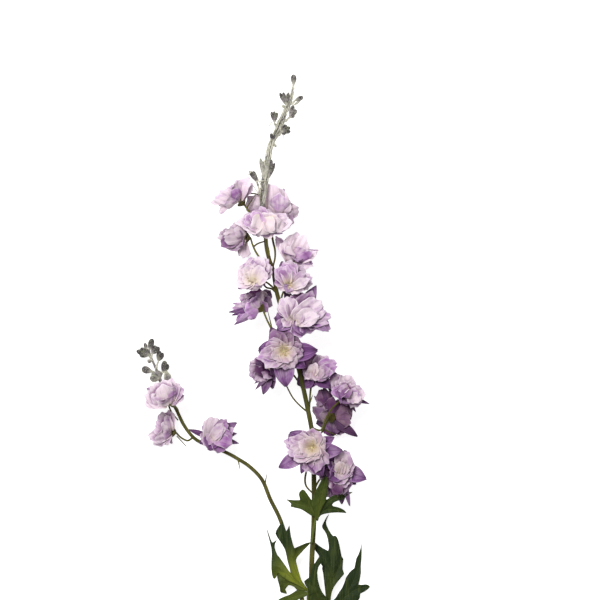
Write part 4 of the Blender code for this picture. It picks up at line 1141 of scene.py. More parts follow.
def petal_finish(colours):
    made = Finish("petal", 0.6, specular=0.22, sheen=0.06)
    along, across, tone, warm, inside = made.values("along", "across", "tone", "warm", "inside")
    dusk, shade_beneath, draw = made.values("dusk", "shade_beneath", "draw")
    pale = made.ramp(
        along, (0.0, colours.petal_cream), (0.35, colours.petal_pale), (0.80, colours.petal_pale),
        (1.0, colours.petal_rim_and_highlight))
    rich = made.ramp(
        along, (0.0, colours.petal_pale), (0.30, colours.petal_blush), (0.70, colours.petal_lilac),
        (1.0, colours.petal_blush))
    streak = made.streaks(across, along, draw)
    cloud = made.clouds(150.0, 3.0, 0.35, 0.68, -0.30, 0.36)
    streaked = made.plus(cloud, made.fade(streak, 0.35, 0.68, -0.10, 0.20))
    back = made.times(made.less(1.0, inside), 0.10)
    body = made.mix(made.plus(made.plus(tone, streaked), back, clamp=True), pale, rich)
    veins = made.lines(made.plus(across, made.times(made.noise(90.0), 0.25)), 0.17, 3.0)
    seen = made.times(veins, made.fade(along, 0.15, 0.7, 0.03, 0.16))
    veined = made.mix(seen, body, colours.petal_blush)
    warmed = made.mix(warm, veined, made.mix(warm, colours.petal_cream, colours.petal_heart))
    # A pale rim along the sides and the end, partly the petal's own edge and partly a painted highlight, kept
    # off its root
    side = made.fade(made.maths("ABSOLUTE", across), 0.86, 1.0)
    rim = made.maths("MAXIMUM", side, made.fade(along, 0.93, 1.0))
    edged = made.mix(made.times(rim, made.fade(along, 0.15, 0.50, 0.0, 0.7)), warmed, colours.petal_rim_and_highlight)
    # Painted shade over the whole petal, where it or its bloom lay in shadow
    overall_shaded = made.mix(dusk, edged, OVERALL_SHADE_TINT, blend="MULTIPLY")
    # Painted shade where the petal lies beneath others, kept off its warm heart
    shown = made.less(1.0, made.times(warm, 0.9))
    shaded_beneath = made.mix(made.times(shade_beneath, shown), overall_shaded, SHADE_BENEATH_TINT, blend="MULTIPLY")
    crinkle = made.plus(made.times(veins, 0.25), made.times(streak, 1.1))
    normal = made.bump(made.plus(crinkle, made.noise(900.0, 4.0)), 0.32, 0.8)
    return made.paint(shaded_beneath, normal, 0.14)


def sepal_finish(colours):
    made = Finish("sepal", 0.5, specular=0.25, sheen=0.06)
    along, across, tone, dusk, shade_beneath, draw = made.values("along", "across", "tone", "dusk", "shade_beneath", "draw")
    violet = made.ramp(
        along, (0.0, colours.sepal_deep), (0.35, colours.sepal_violet), (0.80, colours.sepal_violet),
        (1.0, colours.sepal_deep))
    pale = made.ramp(along, (0.0, colours.petal_cream), (0.4, colours.petal_pale), (1.0, colours.sepal_pale))
    cloud = made.clouds(130.0, 3.0, 0.35, 0.68, -0.20, 0.25)
    body = made.mix(made.plus(made.times(tone, 1.25), cloud, clamp=True), pale, violet)
    veins = made.lines(made.plus(across, made.times(made.noise(80.0), 0.2)), 0.22, 4.0)
    seen = made.times(veins, made.fade(along, 0.05, 0.5, 0.0, 0.35))
    veined = made.mix(seen, body, colours.sepal_deep)
    streak = made.streaks(across, along, draw)
    streaked = made.mix(made.fade(streak, 0.48, 0.72, 0.0, 0.45), veined, colours.sepal_pale)
    aside = made.maths("ABSOLUTE", across)
    lighter = made.mix(made.fade(aside, 0.70, 1.0, 0.0, 0.40), streaked, colours.sepal_pale)
    keeled = made.mix(made.fade(aside, 0.0, 0.10, 0.35, 0.0), lighter, colours.sepal_deep)
    # Painted shade over the whole sepal, where it or its bloom lay in shadow
    overall_shaded = made.mix(dusk, keeled, OVERALL_SHADE_TINT, blend="MULTIPLY")
    # Painted shade where the sepal lies beneath other petals
    shaded_beneath = made.mix(shade_beneath, overall_shaded, SHADE_BENEATH_TINT, blend="MULTIPLY")
    relief = made.plus(veins, made.times(streak, 1.2))
    normal = made.bump(made.plus(relief, made.noise(700.0, 4.0)), 0.28, 0.7)
    return made.paint(shaded_beneath, normal, 0.06)


def stamen_finish(colours):
    made = Finish("stamen", 0.55)
    body = made.mix(*made.values("tone"), colours.petal_cream, colours.stamen)
    speckled = made.mix(made.clouds(1500.0, 2.0, 0.45, 0.7, 0.0, 0.35), body, colours.petal_heart)
    made.bump(made.noise(2500.0), 0.1)
    return made.paint(speckled)


def stem_finish(colours):
    made = Finish("stem", 0.55, specular=0.1)
    tone, young = made.values("tone", "young")
    brown = made.plus(made.clouds(45.0, 2.0, 0.35, 0.75, 0.0, 0.45), tone, clamp=True)
    green = made.mix(young, colours.stem_green, colours.stem_light)
    body = made.mix(brown, green, colours.stem_brown)
    streak = made.noise(260.0, 4.0, stretch=(1.0, 0.08, 1.0))
    streaked = made.mix(made.fade(streak, 0.4, 0.75, 0.0, 0.6), body, colours.stem_light)
    made.bump(made.plus(streak, made.noise(900.0, 3.0)), 0.3, 0.7)
    return made.paint(streaked)


def leaf_finish(colours):
    made = Finish("leaf", 0.55, specular=0.1)
    across, along, tone, young, inside = made.values("across", "along", "tone", "young", "inside")
    away = made.maths("ABSOLUTE", across)
    green = made.mix(made.fade(tone, 0.0, 0.7), colours.leaf_dark, colours.leaf_green)
    cloud = made.mix(made.clouds(70.0, 3.0, 0.35, 0.7, 0.0, 0.5), green, colours.leaf_dark)
    yellowed = made.mix(made.times(young, made.fade(away, 0.5, 6.0, 1.0, 0.45)), cloud, colours.leaf_young)
    streak = made.noise(560.0, 3.0, stretch=(1.0, 0.07, 1.0))
    streaked = made.mix(made.fade(streak, 0.45, 0.72, 0.0, 0.40), yellowed, colours.leaf_light)
    slanted = made.less(along, made.times(away, 1.3))
    veins = made.times(made.lines(slanted, 4.2, 10.0), made.fade(away, 0.2, 1.0))
    veined = made.mix(made.times(veins, 0.14), streaked, colours.leaf_light)
    rib = made.fade(away, 0.15, 0.70, 1.0, 0.0)
    ribbed = made.mix(made.times(rib, made.fade(tone, 0.0, 0.6, 0.25, 0.65)), veined, colours.leaf_light)
    under = made.mix(made.fade(inside, 0.4, 0.6, 0.45, 0.0), ribbed, colours.leaf_light)
    relief = made.less(made.times(made.noise(500.0, 3.0), 0.5), made.plus(rib, made.times(veins, 0.6)))
    return made.paint(under, made.bump(relief, 0.35, 0.8), 0.05)


def felt_finish(colours):
    made = Finish("felt", 0.9, specular=0.1, sheen=0.25)
    tone, = made.values("tone")
    body = made.ramp(tone, (0.0, colours.felt), (0.40, colours.bud), (0.85, colours.bud_dark))
    cloud = made.mix(made.clouds(220.0, 3.0, 0.42, 0.68, 0.0, 0.55), body, colours.felt_green)
    spots = made.times(made.clouds(420.0, 2.0, 0.47, 0.58), made.fade(tone, 0.05, 0.6, 0.10, 0.95))
    spotted = made.mix(spots, cloud, colours.bud_dark)
    down = made.mix(made.clouds(1500.0, 3.0, 0.50, 0.75, 0.0, 0.5), spotted, colours.hair)
    made.bump(made.noise(1100.0, 4.0), 0.6)
    return made.paint(down)


def hair_finish(colours):
    made = Finish("hair", 0.7)
    body = made.mix(*made.values("tone"), colours.hair, colours.felt)
    return made.paint(made.mix(made.clouds(300.0, 2.0, 0.4, 0.7, 0.0, 0.4), body, colours.felt))


# Blooms

def facing_axes(bloom):
    """A bloom's own axes as the columns of a matrix, with the last one the way it faces."""
    placed = Vector(bloom.facing).to_track_quat("Z", "Y").to_matrix()
    return np.array(placed @ Matrix.Rotation(math.radians(bloom.turn), 3, "Z"))


def outline(part, along):
    """Half the width of a petal or a sepal along it, as a share of its widest."""
    if part == "sepals":
        return np.maximum(0.0, np.sin(math.pi * along ** POINTED_BULGE)) ** POINTED_FULLNESS
    return np.sqrt(np.maximum(0.0, 1 - ((along - ROUND_WIDEST) / ROUND_REACH) ** 2))


def waves(draws, across, spec, crowding=1.0):
    """A sum of waves across a petal, each starting anywhere."""
    return sum(depth * np.sin(math.pi * (count * crowding) * across + draws.uniform(0, FULL_TURN))
               for count, depth in zip(*spec))


def whorl_petal(bloom, part, number, draws, uneven):
    """A petal of a regular whorl, and the way it points."""
    whorl, size = WHORLS[part], getattr(bloom, part)
    uneven = uneven * (1 + whorl.loose)
    differs = {key: uneven * draws.uniform(*spread) for key, spread in DIFFERENCES.items()}
    reach = whorl.length * size * (1 + differs["reach"])
    turn = FULL_TURN * number / whorl.count + math.radians(whorl.turn) + differs["turn"]
    lean = HEART_LEAN * whorl.loose * math.cos(turn - LEAN_TURNS * int(bloom.name))
    closing = (1 - bloom.open) * CLOSED_RISE
    start = math.radians(whorl.start) + SHARE_OF_RISE_AT_ROOT * (closing + lean) + differs["start"]
    end = math.radians(whorl.end) + closing + lean + differs["end"]
    angle = start + (end - start) * FINE
    step = reach * FINE[1]
    out = HUB_RADIUS * np.minimum(FINE / NOTCH, 1.0) + step * (np.cumsum(np.cos(angle)) - np.cos(angle[0]))
    rise = whorl.height + step * (np.cumsum(np.sin(angle)) - np.sin(angle[0]))
    outward = np.array((math.cos(turn), math.sin(turn), 0.0))
    axes = facing_axes(bloom)
    rib = np.array(bloom.base) + (np.outer(out, outward) + np.outer(rise, UP)) @ axes.T
    inward = (np.outer(np.cos(angle), UP) - np.outer(np.sin(angle), outward)) @ axes.T
    half = min(whorl.half_width * size, ROOM * math.pi / whorl.count * reach)
    tone = getattr(LOOKS[bloom.name], part) + differs["tone"]
    return Petal(part, rib, inward, half, tone, 0.0), unit(rib[-1] - rib[0])


def heart_of(bloom, height):
    """The place so high over a bloom's foot, on its axis or over the spot its petals spring from."""
    heart = np.array(bloom.base) + facing_axes(bloom)[:, 2] * height
    if bloom.name in HEARTS:
        heart[:2] = at_pixel(*HEARTS[bloom.name])[:2]
    return heart


def placed_petal(bloom, part, spot, draws, uneven):
    """A petal with a place of its own, and the way it points."""
    u, v, lift, half, tone, *more = spot
    dusk, *own_root = more or (0.0,)
    sheeting = SHEETINGS[part]
    base, facing = np.array(bloom.base, float), facing_axes(bloom)[:, 2]
    root = base + facing * sheeting.rooted
    if part == "petals":
        root = heart_of(bloom, sheeting.rooted)
        tone = tone + LOOKS[bloom.name].rich
    if own_root:
        root = at_pixel(own_root[0], own_root[1], base[2] + own_root[2])
    shown = 1.0 if facing[2] > FACES_VIEW or (facing[2] > 0 and lift < NEAR_LIFT) else -1.0
    tip = at_pixel(u, v, base[2] + lift)
    length = np.linalg.norm(tip - root)
    points = (tip - root) / length
    inward = facing * TURN_TO_FACING + UP * shown * (1 - TURN_TO_FACING)
    inward = unit(inward - points * (inward @ points))
    bend = root + (tip - root) * BEND_AT + inward * shown * length * sheeting.arch
    ending = np.maximum(FINE - END_STARTS, 0.0)[:, None] ** 2
    rib = bent_line(root, bend, tip, FINE)
    rib = rib + inward * length * uneven * draws.uniform(*END_BENDS) * ending
    along = unit(np.gradient(rib, axis=0))
    inward = unit(inward - along * (along @ inward)[:, None])
    return Petal(part, rib, inward, half * sheeting.wider, tone, dusk), points


def relief(petal, along, across, draws, sizes):
    """How far a petal's points stand off its rib: its cup, folds, pleats, creases, curl and keel."""
    sheeting, width = SHEETINGS[petal.part], petal.half_width
    swing = across + draws.uniform(-FOLD_SWING, FOLD_SWING) * along
    folds = waves(draws, swing, FOLD_WAVES, max(width / USUAL_WIDTH, FEWEST_FOLDS))
    folds = folds * along ** 1.4 * (FOLDS_IN_MIDDLE + (1 - FOLDS_IN_MIDDLE) * np.abs(across))
    calm = min(1.0, CALM_WIDTH / width) ** 1.5
    pleats = PLEAT_DEPTH * calm * sizes.ruffle * waves(draws, across, PLEAT_WAVES)
    pleats = pleats * along * (PLEATS_END - along)
    creases = 0.0
    for _ in range(sheeting.creases):
        line = draws.uniform(-CREASE_SPREAD, CREASE_SPREAD) * (CREASE_FOOT + (1 - CREASE_FOOT) * along)
        sharp = np.exp(-np.abs((across - line) / draws.uniform(*CREASE_WIDTHS)))
        depth = draws.uniform(*CREASE_DEPTHS) * calm * width
        creases = creases + depth * sharp * np.sin(math.pi * along ** 0.8)
    curl = draws.uniform(*CURLS) + CURL_WAVE * np.sin(CURL_WAVES * across + draws.uniform(0, FULL_TURN))
    curl = curl * width * np.maximum((along - CURL_STARTS) / (1 - CURL_STARTS), 0.0) ** 2 * sheeting.curl
    twist = sizes.unevenness * draws.uniform(-TWIST, TWIST)
    cup = width * across ** 2 * (CUP_AT_ROOT * (1 - along) + CUP_OVERALL * (1 - along ** 2))
    cup = cup * np.minimum(CUP_FOOT + along / CUP_GROWS, 1.0) + width * twist * across * along
    keel = -sheeting.keel * width * np.exp(-np.abs(across / KEEL_WIDTH)) * np.sin(math.pi * along)
    return cup + sizes.ruffle * sheeting.folds * width * folds + pleats + creases * sizes.ruffle + curl + keel


def add_petal(shape, bloom, petal, draws, sizes):
    """Adds one petal, a thin closed sheet that cups, folds and ruffles, to the shape."""
    sheeting, look = SHEETINGS[petal.part], LOOKS[bloom.name]
    along = np.linspace(0.0, 1.0, PETAL_ROWS)[:, None] ** ROW_CROWDING
    along = np.clip(along, PETAL_FOOT, sheeting.end)
    across = np.linspace(-1.0, 1.0, PETAL_COLUMNS)[None, :]
    edge = waves(draws, across, EDGE_WAVES) * along ** 3 * sheeting.waver
    at = along * (1 - sheeting.rounding * across ** 2 * along ** 2 + edge)
    half = petal.half_width * outline(petal.part, along) * (1 + waves(draws, along, WIDTH_WAVES))
    middle, inward = (along_line(at, FINE, line) for line in (petal.rib, petal.inward))
    beside = unit(np.cross(inward, np.gradient(middle, axis=0)))
    lift = relief(petal, along, across, draws, sizes)
    points = middle + beside * (half * across)[..., None] + inward * lift[..., None]
    thickness = sizes.petal_thickness / MM
    points = above_table(points, thickness)
    side = unit(np.cross(np.gradient(points, axis=1), np.gradient(points, axis=0)))
    side = side * np.sign((side * inward).sum(axis=-1, keepdims=True) + TINY)
    grown = thickness / 2 * (1 - RIM_THINS * np.maximum(np.abs(across), along)[..., None] ** 6)
    both = np.concatenate([points + side * grown, points - side * grown])
    away = np.linalg.norm(points - heart_of(bloom, SHEETINGS["petals"].rooted + WARM_LIFT), axis=-1)

    def twice(given):
        return np.tile(np.broadcast_to(given, at.shape).ravel(), 2)

    shape.add(
        both, grid_faces(PETAL_ROWS, PETAL_COLUMNS), along=twice(along), across=twice(across),
        tone=petal.tone, warm=twice(look.warmth * np.exp(-(away / look.reach) ** 2)),
        inside=np.repeat((1.0, 0.0), at.size),
        dusk=min(look.dusk + petal.dusk, 1.0), draw=draws.uniform(0, 1),
    )


def spread_out(heights, reach):
    """The mean of a height map over squares that reach so many cells to each side."""
    cells = 2 * reach + 1
    for axis in (0, 1):
        margins = [(0, 0), (0, 0)]
        margins[axis] = (reach + 1, reach)
        total = np.cumsum(np.pad(heights, margins, mode="edge"), axis=axis)
        upper = np.take(total, range(cells, total.shape[axis]), axis)
        lower = np.take(total, range(total.shape[axis] - cells), axis)
        heights = (upper - lower) / cells
    return heights


def shade_by_depth(shapes):
    """Gives each point how deep it lies beneath the petals around it, from 0 to 1, which weighs its painted
    shade.
    """
    spots = [np.concatenate(shape.points) for shape in shapes]
    points = np.concatenate(spots)
    low = points[:, :2].min(axis=0) - DEPTH_MARGIN
    size = np.ceil((points[:, :2].max(axis=0) + DEPTH_MARGIN - low) / DEPTH_CELL).astype(int)

    def cells(points):
        return tuple(((points[:, :2] - low) / DEPTH_CELL).astype(int).T)

    heights = np.zeros(size)
    np.maximum.at(heights, cells(points), points[:, 2])
    steps = (-1, 0, 1)
    heights = np.maximum.reduce([np.roll(heights, (x, y), (0, 1)) for x in steps for y in steps])
    around = [spread_out(spread_out(heights, depth.cells), depth.cells) for depth in DEPTHS]
    for shape, points in zip(shapes, spots):
        beneath = [heights[cells(points)] - points[:, 2] for heights in around]
        shape.values["shade_beneath"] = [sum(
            depth.weight * np.clip((below - depth.starts) / depth.grows, 0.0, 1.0)
            for depth, below in zip(DEPTHS, beneath))]


# How strong the painted shade beneath other petals is on a bloom
def shade_beneath_strength(bloom):
    if bloom.parent == "branch":
        return SHADE_BENEATH_STRENGTH["branch"]
    return np.interp(bloom.base[1], DEPTH_EASES, (SHADE_BENEATH_STRENGTH["low"], SHADE_BENEATH_STRENGTH["high"]))


def bloom_whorls(bloom, part, sizes):
    """The petals or the sepals of a bloom, as one shape: those with a place of their own, then the others."""
    shape, taken = Shape(), []
    draws = np.random.default_rng(int(bloom.name) * 10 + (part == "petals"))
    for spot in PLACED[part].get(bloom.name, ()):
        petal, points = placed_petal(bloom, part, spot, draws, sizes.unevenness)
        add_petal(shape, bloom, petal, draws, sizes)
        taken.append(points)
    clear = math.cos(math.radians(WHORLS[part].clear))
    for number in range(WHORLS[part].count):
        petal, points = whorl_petal(bloom, part, number, draws, sizes.unevenness)
        unseen = part == "sepals" or points[2] < FRONT
        if unseen and all(points @ other < clear for other in taken):
            add_petal(shape, bloom, petal, draws, sizes)
    return shape


def bloom_centre(bloom, sizes):
    """The hub that a bloom's petals grow from, and its tuft of stamens."""
    shape = Shape()
    draws = np.random.default_rng(int(bloom.name) + CENTRE_SEED)
    axes, base = facing_axes(bloom), np.array(bloom.base, float)
    aside = heart_of(bloom, HUB_LIFT) - base - axes[:, 2] * HUB_LIFT

    def placed(points):
        return base + points @ axes.T + aside * np.minimum(points[:, 2:] / HUB_LIFT, 1.0)

    heights, radii = np.transpose(HUB_PROFILE)
    tube(shape, placed(np.outer(heights, UP)), radii, HUB_SIDES, tone=HUB_TONE)
    places, knob = np.transpose(KNOB_PROFILE)
    shares = np.linspace(0.0, 1.0, STAMEN_POINTS)[:, None]
    widths, tones = (np.linspace(*ends, STAMEN_POINTS) for ends in (STAMEN_RADII, STAMEN_TONES))
    for _ in range(STAMENS.get(bloom.name, FEW_STAMENS)):
        turn, lean = draws.uniform(0, FULL_TURN), draws.uniform(*STAMEN_LEANS)
        tall = sizes.filament_length / MM * draws.uniform(*STAMEN_LENGTHS)
        side = np.array((math.cos(turn), math.sin(turn), 0.0))
        thread = UP * STAMEN_FOOT[1] + side * STAMEN_FOOT[0] + UP * shares * tall * math.cos(lean)
        thread = thread + side * shares ** 1.6 * tall * math.sin(lean)
        tube(shape, placed(thread), widths, 4, tone=tones)
        head = unit(thread[-1] - thread[-2])
        tube(shape, placed(thread[-1] + np.outer(places, head)), knob, 6, tone=1.0)
    return shape


# Stems

def stalk_points(bloom):
    """Points of a flower stalk, from inside the stem, arching out to the foot of the bloom's calyx."""
    facing, base = np.array(Vector(bloom.facing).normalized()), np.array(bloom.base, float)
    parent = smooth_route(RODS[bloom.parent].route)
    root = along_line(bloom.leaves, parent[:, 1], parent)
    reach = np.linalg.norm(base - root)
    calyx_foot = base - facing * CALYX_LENGTH
    if bloom.name in BENDS:
        return smooth_route([root, *(at_pixel(*spot) for spot in BENDS[bloom.name]), calyx_foot])
    leaving = root + np.array((0, STALK_CLIMB * reach, 0)) + (base - root) * STALK_LEAN
    coming = base - facing * max(STALK_STRAIGHT * reach, CALYX_LENGTH)
    t = np.linspace(0.0, 1.0, STALK_POINTS)[:, None]
    lower = root * (1 - t) ** 3 + leaving * 3 * t * (1 - t) ** 2
    return lower + coming * 3 * t ** 2 * (1 - t) + calyx_foot * t ** 3


def add_stalk(shape, bloom):
    route, facing = stalk_points(bloom), np.array(Vector(bloom.facing).normalized())
    spread = distances(route)
    shares, radii = np.transpose(CALYX_PROFILE)
    calyx = route[-1] + np.outer(shares, facing * CALYX_LENGTH)
    flare = CALYX_FLARE if facing[2] < FACES_UP else 0.0
    stalk_radii = STALK_RADIUS * (1 + STALK_FOOT * np.exp(-spread / STALK_FOOT_SHARE))
    fresh = np.interp(bloom.base[1], *STALK_YOUNG)
    stalk_tone = STALK_BROWN * spread - YOUNG_LESS_BROWN * fresh
    tone = np.concatenate([stalk_tone, np.linspace(*CALYX_BROWN, len(calyx))])
    young = fresh * np.interp(np.arange(len(tone)), (len(route) - 3, len(tone)), (1, CALYX_YOUNG))
    tube(shape, np.concatenate([route, calyx]), np.concatenate([stalk_radii, radii * (1 + flare * shares)]),
         STALK_SIDES, ribs=STEM_RIBS, rib_depth=STALK_RIB_DEPTH, tone=tone, young=young)


def add_bract(shape, spec):
    if spec.on == "branch":
        route = smooth_route(RODS["branch"].route)
    else:
        route = stalk_points(next(bloom for bloom in BLOOMS if bloom.name == spec.on))
    root, tip = along_line(spec.along, distances(route), route), np.array(spec.tip, float)
    line = smooth_route((root, (root + tip) / 2 + UP, tip))
    radii = BRACT_RADIUS * np.linspace(1.0, 0.0, len(line)) ** 0.7 + BRACT_POINT
    tube(shape, line, radii, 6, tone=0.1, young=0.6)


def stem_shape():
    shape = Shape()
    for rod in RODS.values():
        line = smooth_route(rod.route, 8)
        first, last = rod.radii
        brown, young = (np.interp(line[:, 1], *given) for given in (rod.brown, rod.young))
        tube(shape, line, first + (last - first) * distances(line), STEM_SIDES, ribs=STEM_RIBS,
             rib_depth=STEM_RIB_DEPTH, tone=brown, young=young)
    for bloom in BLOOMS:
        add_stalk(shape, bloom)
    for spec in BRACTS:
        add_bract(shape, spec)
    for strand in STRANDS:
        line = smooth_route([at_pixel(*point) for point in strand.points])
        tube(shape, line, strand.radius * np.linspace(1.0, STRAND_THINS, len(line)), 8, tone=0.2, young=0.6)
    return shape


# Felted tips

def finger_lines(spec, route):
    """Places along a bud's fingers with the radius at each; the first has the bud's stalk."""
    height = np.interp(PHOTO_FOOT[1] - spec.foot[1], route[:, 1], route[:, 2])
    level = height + spec.lift
    foot, neck = at_pixel(*spec.foot, height), at_pixel(*spec.neck, level)
    shares, widths = np.transpose(BUD_PROFILE)
    radii = np.concatenate([np.multiply(BUD_STALK_RADIUS, (1.2, 1)), widths * spec.width / 2])
    for number, end in enumerate(spec.ends):
        side = (number + 1) % 2 * 2 - 1
        end = at_pixel(*end, level + side * FINGER_SPREAD * spec.width * (len(spec.ends) > 1))
        middle = (neck + end) / 2 + UP * FINGER_ARCH * spec.width
        start = foot if number == 0 else neck * 0.8 + foot * 0.2
        yield np.concatenate([[start, (start + neck) / 2], bent_line(neck, middle, end, shares)]), radii


def add_threads(shape, line, radii, count, draws):
    """Threads wound loosely along a tip."""
    spread, points = distances(line), len(THREAD_PROFILE)
    for _ in range(count):
        first = draws.uniform(0.0, THREAD_STARTS)
        shares = np.linspace(first, min(first + draws.uniform(*THREAD_LENGTHS), 1.0), points)
        turn = draws.uniform(0, FULL_TURN)
        turn = turn + draws.uniform(-THREAD_TURN, THREAD_TURN) * np.linspace(0, 1, points)
        out = np.interp(shares, spread, radii) * draws.uniform(*THREAD_REACH)
        thread = along_line(shares, spread, line) + np.outer(np.cos(turn) * out, THREAD_SIDE)
        thread = thread + np.outer(np.sin(turn) * out, UP)
        widths = draws.uniform(*THREAD_RADII) * np.array(THREAD_PROFILE)
        tube(shape, thread, widths, 6, tone=draws.uniform(0.0, 0.5) ** 2)


def add_hairs(shape, line, radii, count, draws, longest):
    """Fine hairs on a rod: each stands off its side and leans along it."""
    spread = distances(line)
    direction = unit(np.gradient(line, axis=0))
    across = sideways(direction[0])
    for place, turn in zip(draws.uniform(0.02, 0.98, count), draws.uniform(0, FULL_TURN, count)):
        along = unit(along_line(place, spread, direction))
        first = unit(across - along * (across @ along))
        out = first * math.cos(turn) + np.cross(along, first) * math.sin(turn)
        root = along_line(place, spread, line) + out * np.interp(place, spread, radii) * HAIR_ROOTED
        way = unit(out + along * HAIR_LEAN * draws.uniform(0.5, 1.5) + draws.normal(0, HAIR_STRAYS, 3))
        beside = unit(np.cross(way, out)) * HAIR_WIDTH
        tip = root + way * longest * draws.uniform(*HAIR_LENGTHS)
        corners = [root + beside, root - beside, root + out * HAIR_DEPTH, tip]
        shape.add(corners, [(0, 1, 3), (1, 2, 3), (2, 0, 3)], tone=draws.uniform(0, 1))


def darken_top(shape, places, widths):
    """Darkens the finger added last on its top and leaves its sides pale: painted light and shade by which
    way it faces.
    """
    middle = np.concatenate([np.repeat(places[:, 2], BUD_SIDES), places[[0, -1], 2]])
    radii = np.concatenate([np.repeat(widths, BUD_SIDES), widths[[0, -1]]])
    crown = np.clip((shape.points[-1][:, 2] - middle) / radii, 0.0, 1.0)
    tone = shape.values["tone"][-1] * (SIDE_TONE + CROWN_TONE * crown ** 2)
    shape.values["tone"][-1] = np.clip(tone, 0.0, 1.0)


def tip_shapes(tip, sizes):
    """A felted tip with its buds and threads, and the hairs on it."""
    felt, hair = Shape(), Shape()
    draws = np.random.default_rng(tip.seed)
    line = smooth_route(tip.route, 6)
    thick = np.interp(distances(line), distances(np.asarray(tip.route, float)), tip.radii)
    tube(felt, line, thick * FELT_CORE, FELT_SIDES, ribs=FELT_RIBS, rib_depth=FELT_RIB_DEPTH, tone=FELT_TONE)
    longest = sizes.hair_length / MM
    add_hairs(hair, line, thick, tip.hairs, draws, longest)
    add_threads(felt, line, thick, tip.wound, draws)
    steps, darkness = BUD_DARKENS
    for bud in tip.buds:
        for places, widths in finger_lines(bud, line):
            darker = np.interp(np.arange(len(places)), (*steps, len(places) - 1), darkness)
            tube(felt, places, widths, BUD_SIDES, ribs=BUD_RIBS, rib_depth=BUD_RIB_DEPTH,
                 tone=BUD_TONE + bud.dark * darker * (1 - BUD_TONE))
            darken_top(felt, places, widths)
            add_hairs(hair, places, widths, BUD_HAIRS, draws, longest * BUD_HAIR_LENGTH)
    for ends in tip.loose:
        start, end = (at_pixel(*pixel, THREAD_HEIGHT) for pixel in ends)
        tube(felt, (start, (start + end) / 2 + UP * THREAD_ARCH, end), LOOSE_RADII, 6)
    return felt, hair


# Leaves

def dense_loop(outline, pitch):
    """A closed outline with its corners barely rounded and a point at every pitch."""
    corners = np.array([at_pixel(*pixel)[:2] for pixel in outline])
    corners = np.concatenate([corners, corners[:1]])
    spread = np.concatenate([[0.0], np.cumsum(np.linalg.norm(np.diff(corners, axis=0), axis=1))])
    at = np.linspace(0.0, spread[-1], round(spread[-1] / pitch), endpoint=False)
    loop = along_line(at, spread, corners)
    beside = np.roll(loop, 1, axis=0) + np.roll(loop, -1, axis=0)
    return loop * (1 - 2 * CORNERS_EASE) + beside * CORNERS_EASE


def within(spots, loop):
    """Whether each spot is inside a closed loop and clear of it."""
    inside = np.zeros(len(spots), bool)
    for (x0, y0), (x1, y1) in zip(loop, np.roll(loop, -1, axis=0)):
        if y0 != y1:
            crosses = (spots[:, 1] < y0) != (spots[:, 1] < y1)
            inside ^= crosses & (spots[:, 0] < x0 + (spots[:, 1] - y0) / (y1 - y0) * (x1 - x0))
    gaps = np.linalg.norm(spots[:, None, :] - loop[None, :, :], axis=2).min(axis=1)
    return inside & (gaps > LEAF_CLEAR)


def flat_sheet(outline):
    """Spots over a flat outline, with the triangles between them."""
    loop = dense_loop(outline, LEAF_EDGE)
    (left, low), (right, high) = loop.min(axis=0), loop.max(axis=0)
    x, y = np.meshgrid(np.arange(left, right, LEAF_GRID), np.arange(low, high, LEAF_GRID))
    x[1::2] += LEAF_GRID / 2
    spots = np.stack([x.ravel(), y.ravel()], axis=1)
    spots = [Vector(spot) for spot in np.concatenate([loop, spots[within(spots, loop)]])]
    flat, _, faces, *_ = delaunay_2d_cdt(spots, [], [list(range(len(loop)))], 1, 1e-4)
    return np.array([tuple(spot) for spot in flat]), np.array(faces)


def about_ribs(flat, ribs):
    """The height of each spot of a sheet, how far it is from its rib and how far along the rib it lies."""
    weights, heights, aways, alongs = [], [], [], []
    for rib in ribs:
        gaps = flat[:, None, :] - rib[None, :, :2]
        near = (gaps ** 2).sum(axis=2).argmin(axis=1)
        way = unit(np.gradient(rib[:, :2], axis=0))[near]
        gap = gaps[np.arange(len(flat)), near]
        away = np.linalg.norm(gap, axis=1) * np.sign(way[:, 0] * gap[:, 1] - way[:, 1] * gap[:, 0] + TINY)
        weights.append(1 / (np.abs(away) + 0.7) ** 3)
        heights.append(rib[near, 2])
        aways.append(away)
        alongs.append(distances(rib)[near] * np.linalg.norm(np.diff(rib, axis=0), axis=1).sum())
    weights, heights, aways, alongs = map(np.array, (weights, heights, aways, alongs))
    best = weights.argmax(axis=0), np.arange(len(flat))
    away, along = aways[best], alongs[best]
    wavy = LEAF_RIPPLE * np.sin(along / LEAF_RIPPLE_LENGTH + away * 0.5) * np.abs(away) / LEAF_RIPPLE_GROWS
    bowed = LEAF_RISE * np.abs(away) - LEAF_FALL * away ** 2 + wavy
    return (weights * heights).sum(axis=0) / weights.sum(axis=0) + bowed, away, along


def facing_up(points, faces):
    """The faces all turned upwards, and the way up from each point."""
    first, second, third = (points[faces[:, corner]] for corner in range(3))
    sides = np.cross(second - first, third - first)
    turned = sides[:, 2] < 0
    faces[turned] = faces[turned][:, ::-1]
    sides[turned] *= -1
    ways = np.zeros_like(points)
    for corner in range(3):
        np.add.at(ways, faces[:, corner], sides)
    return faces, unit(ways)


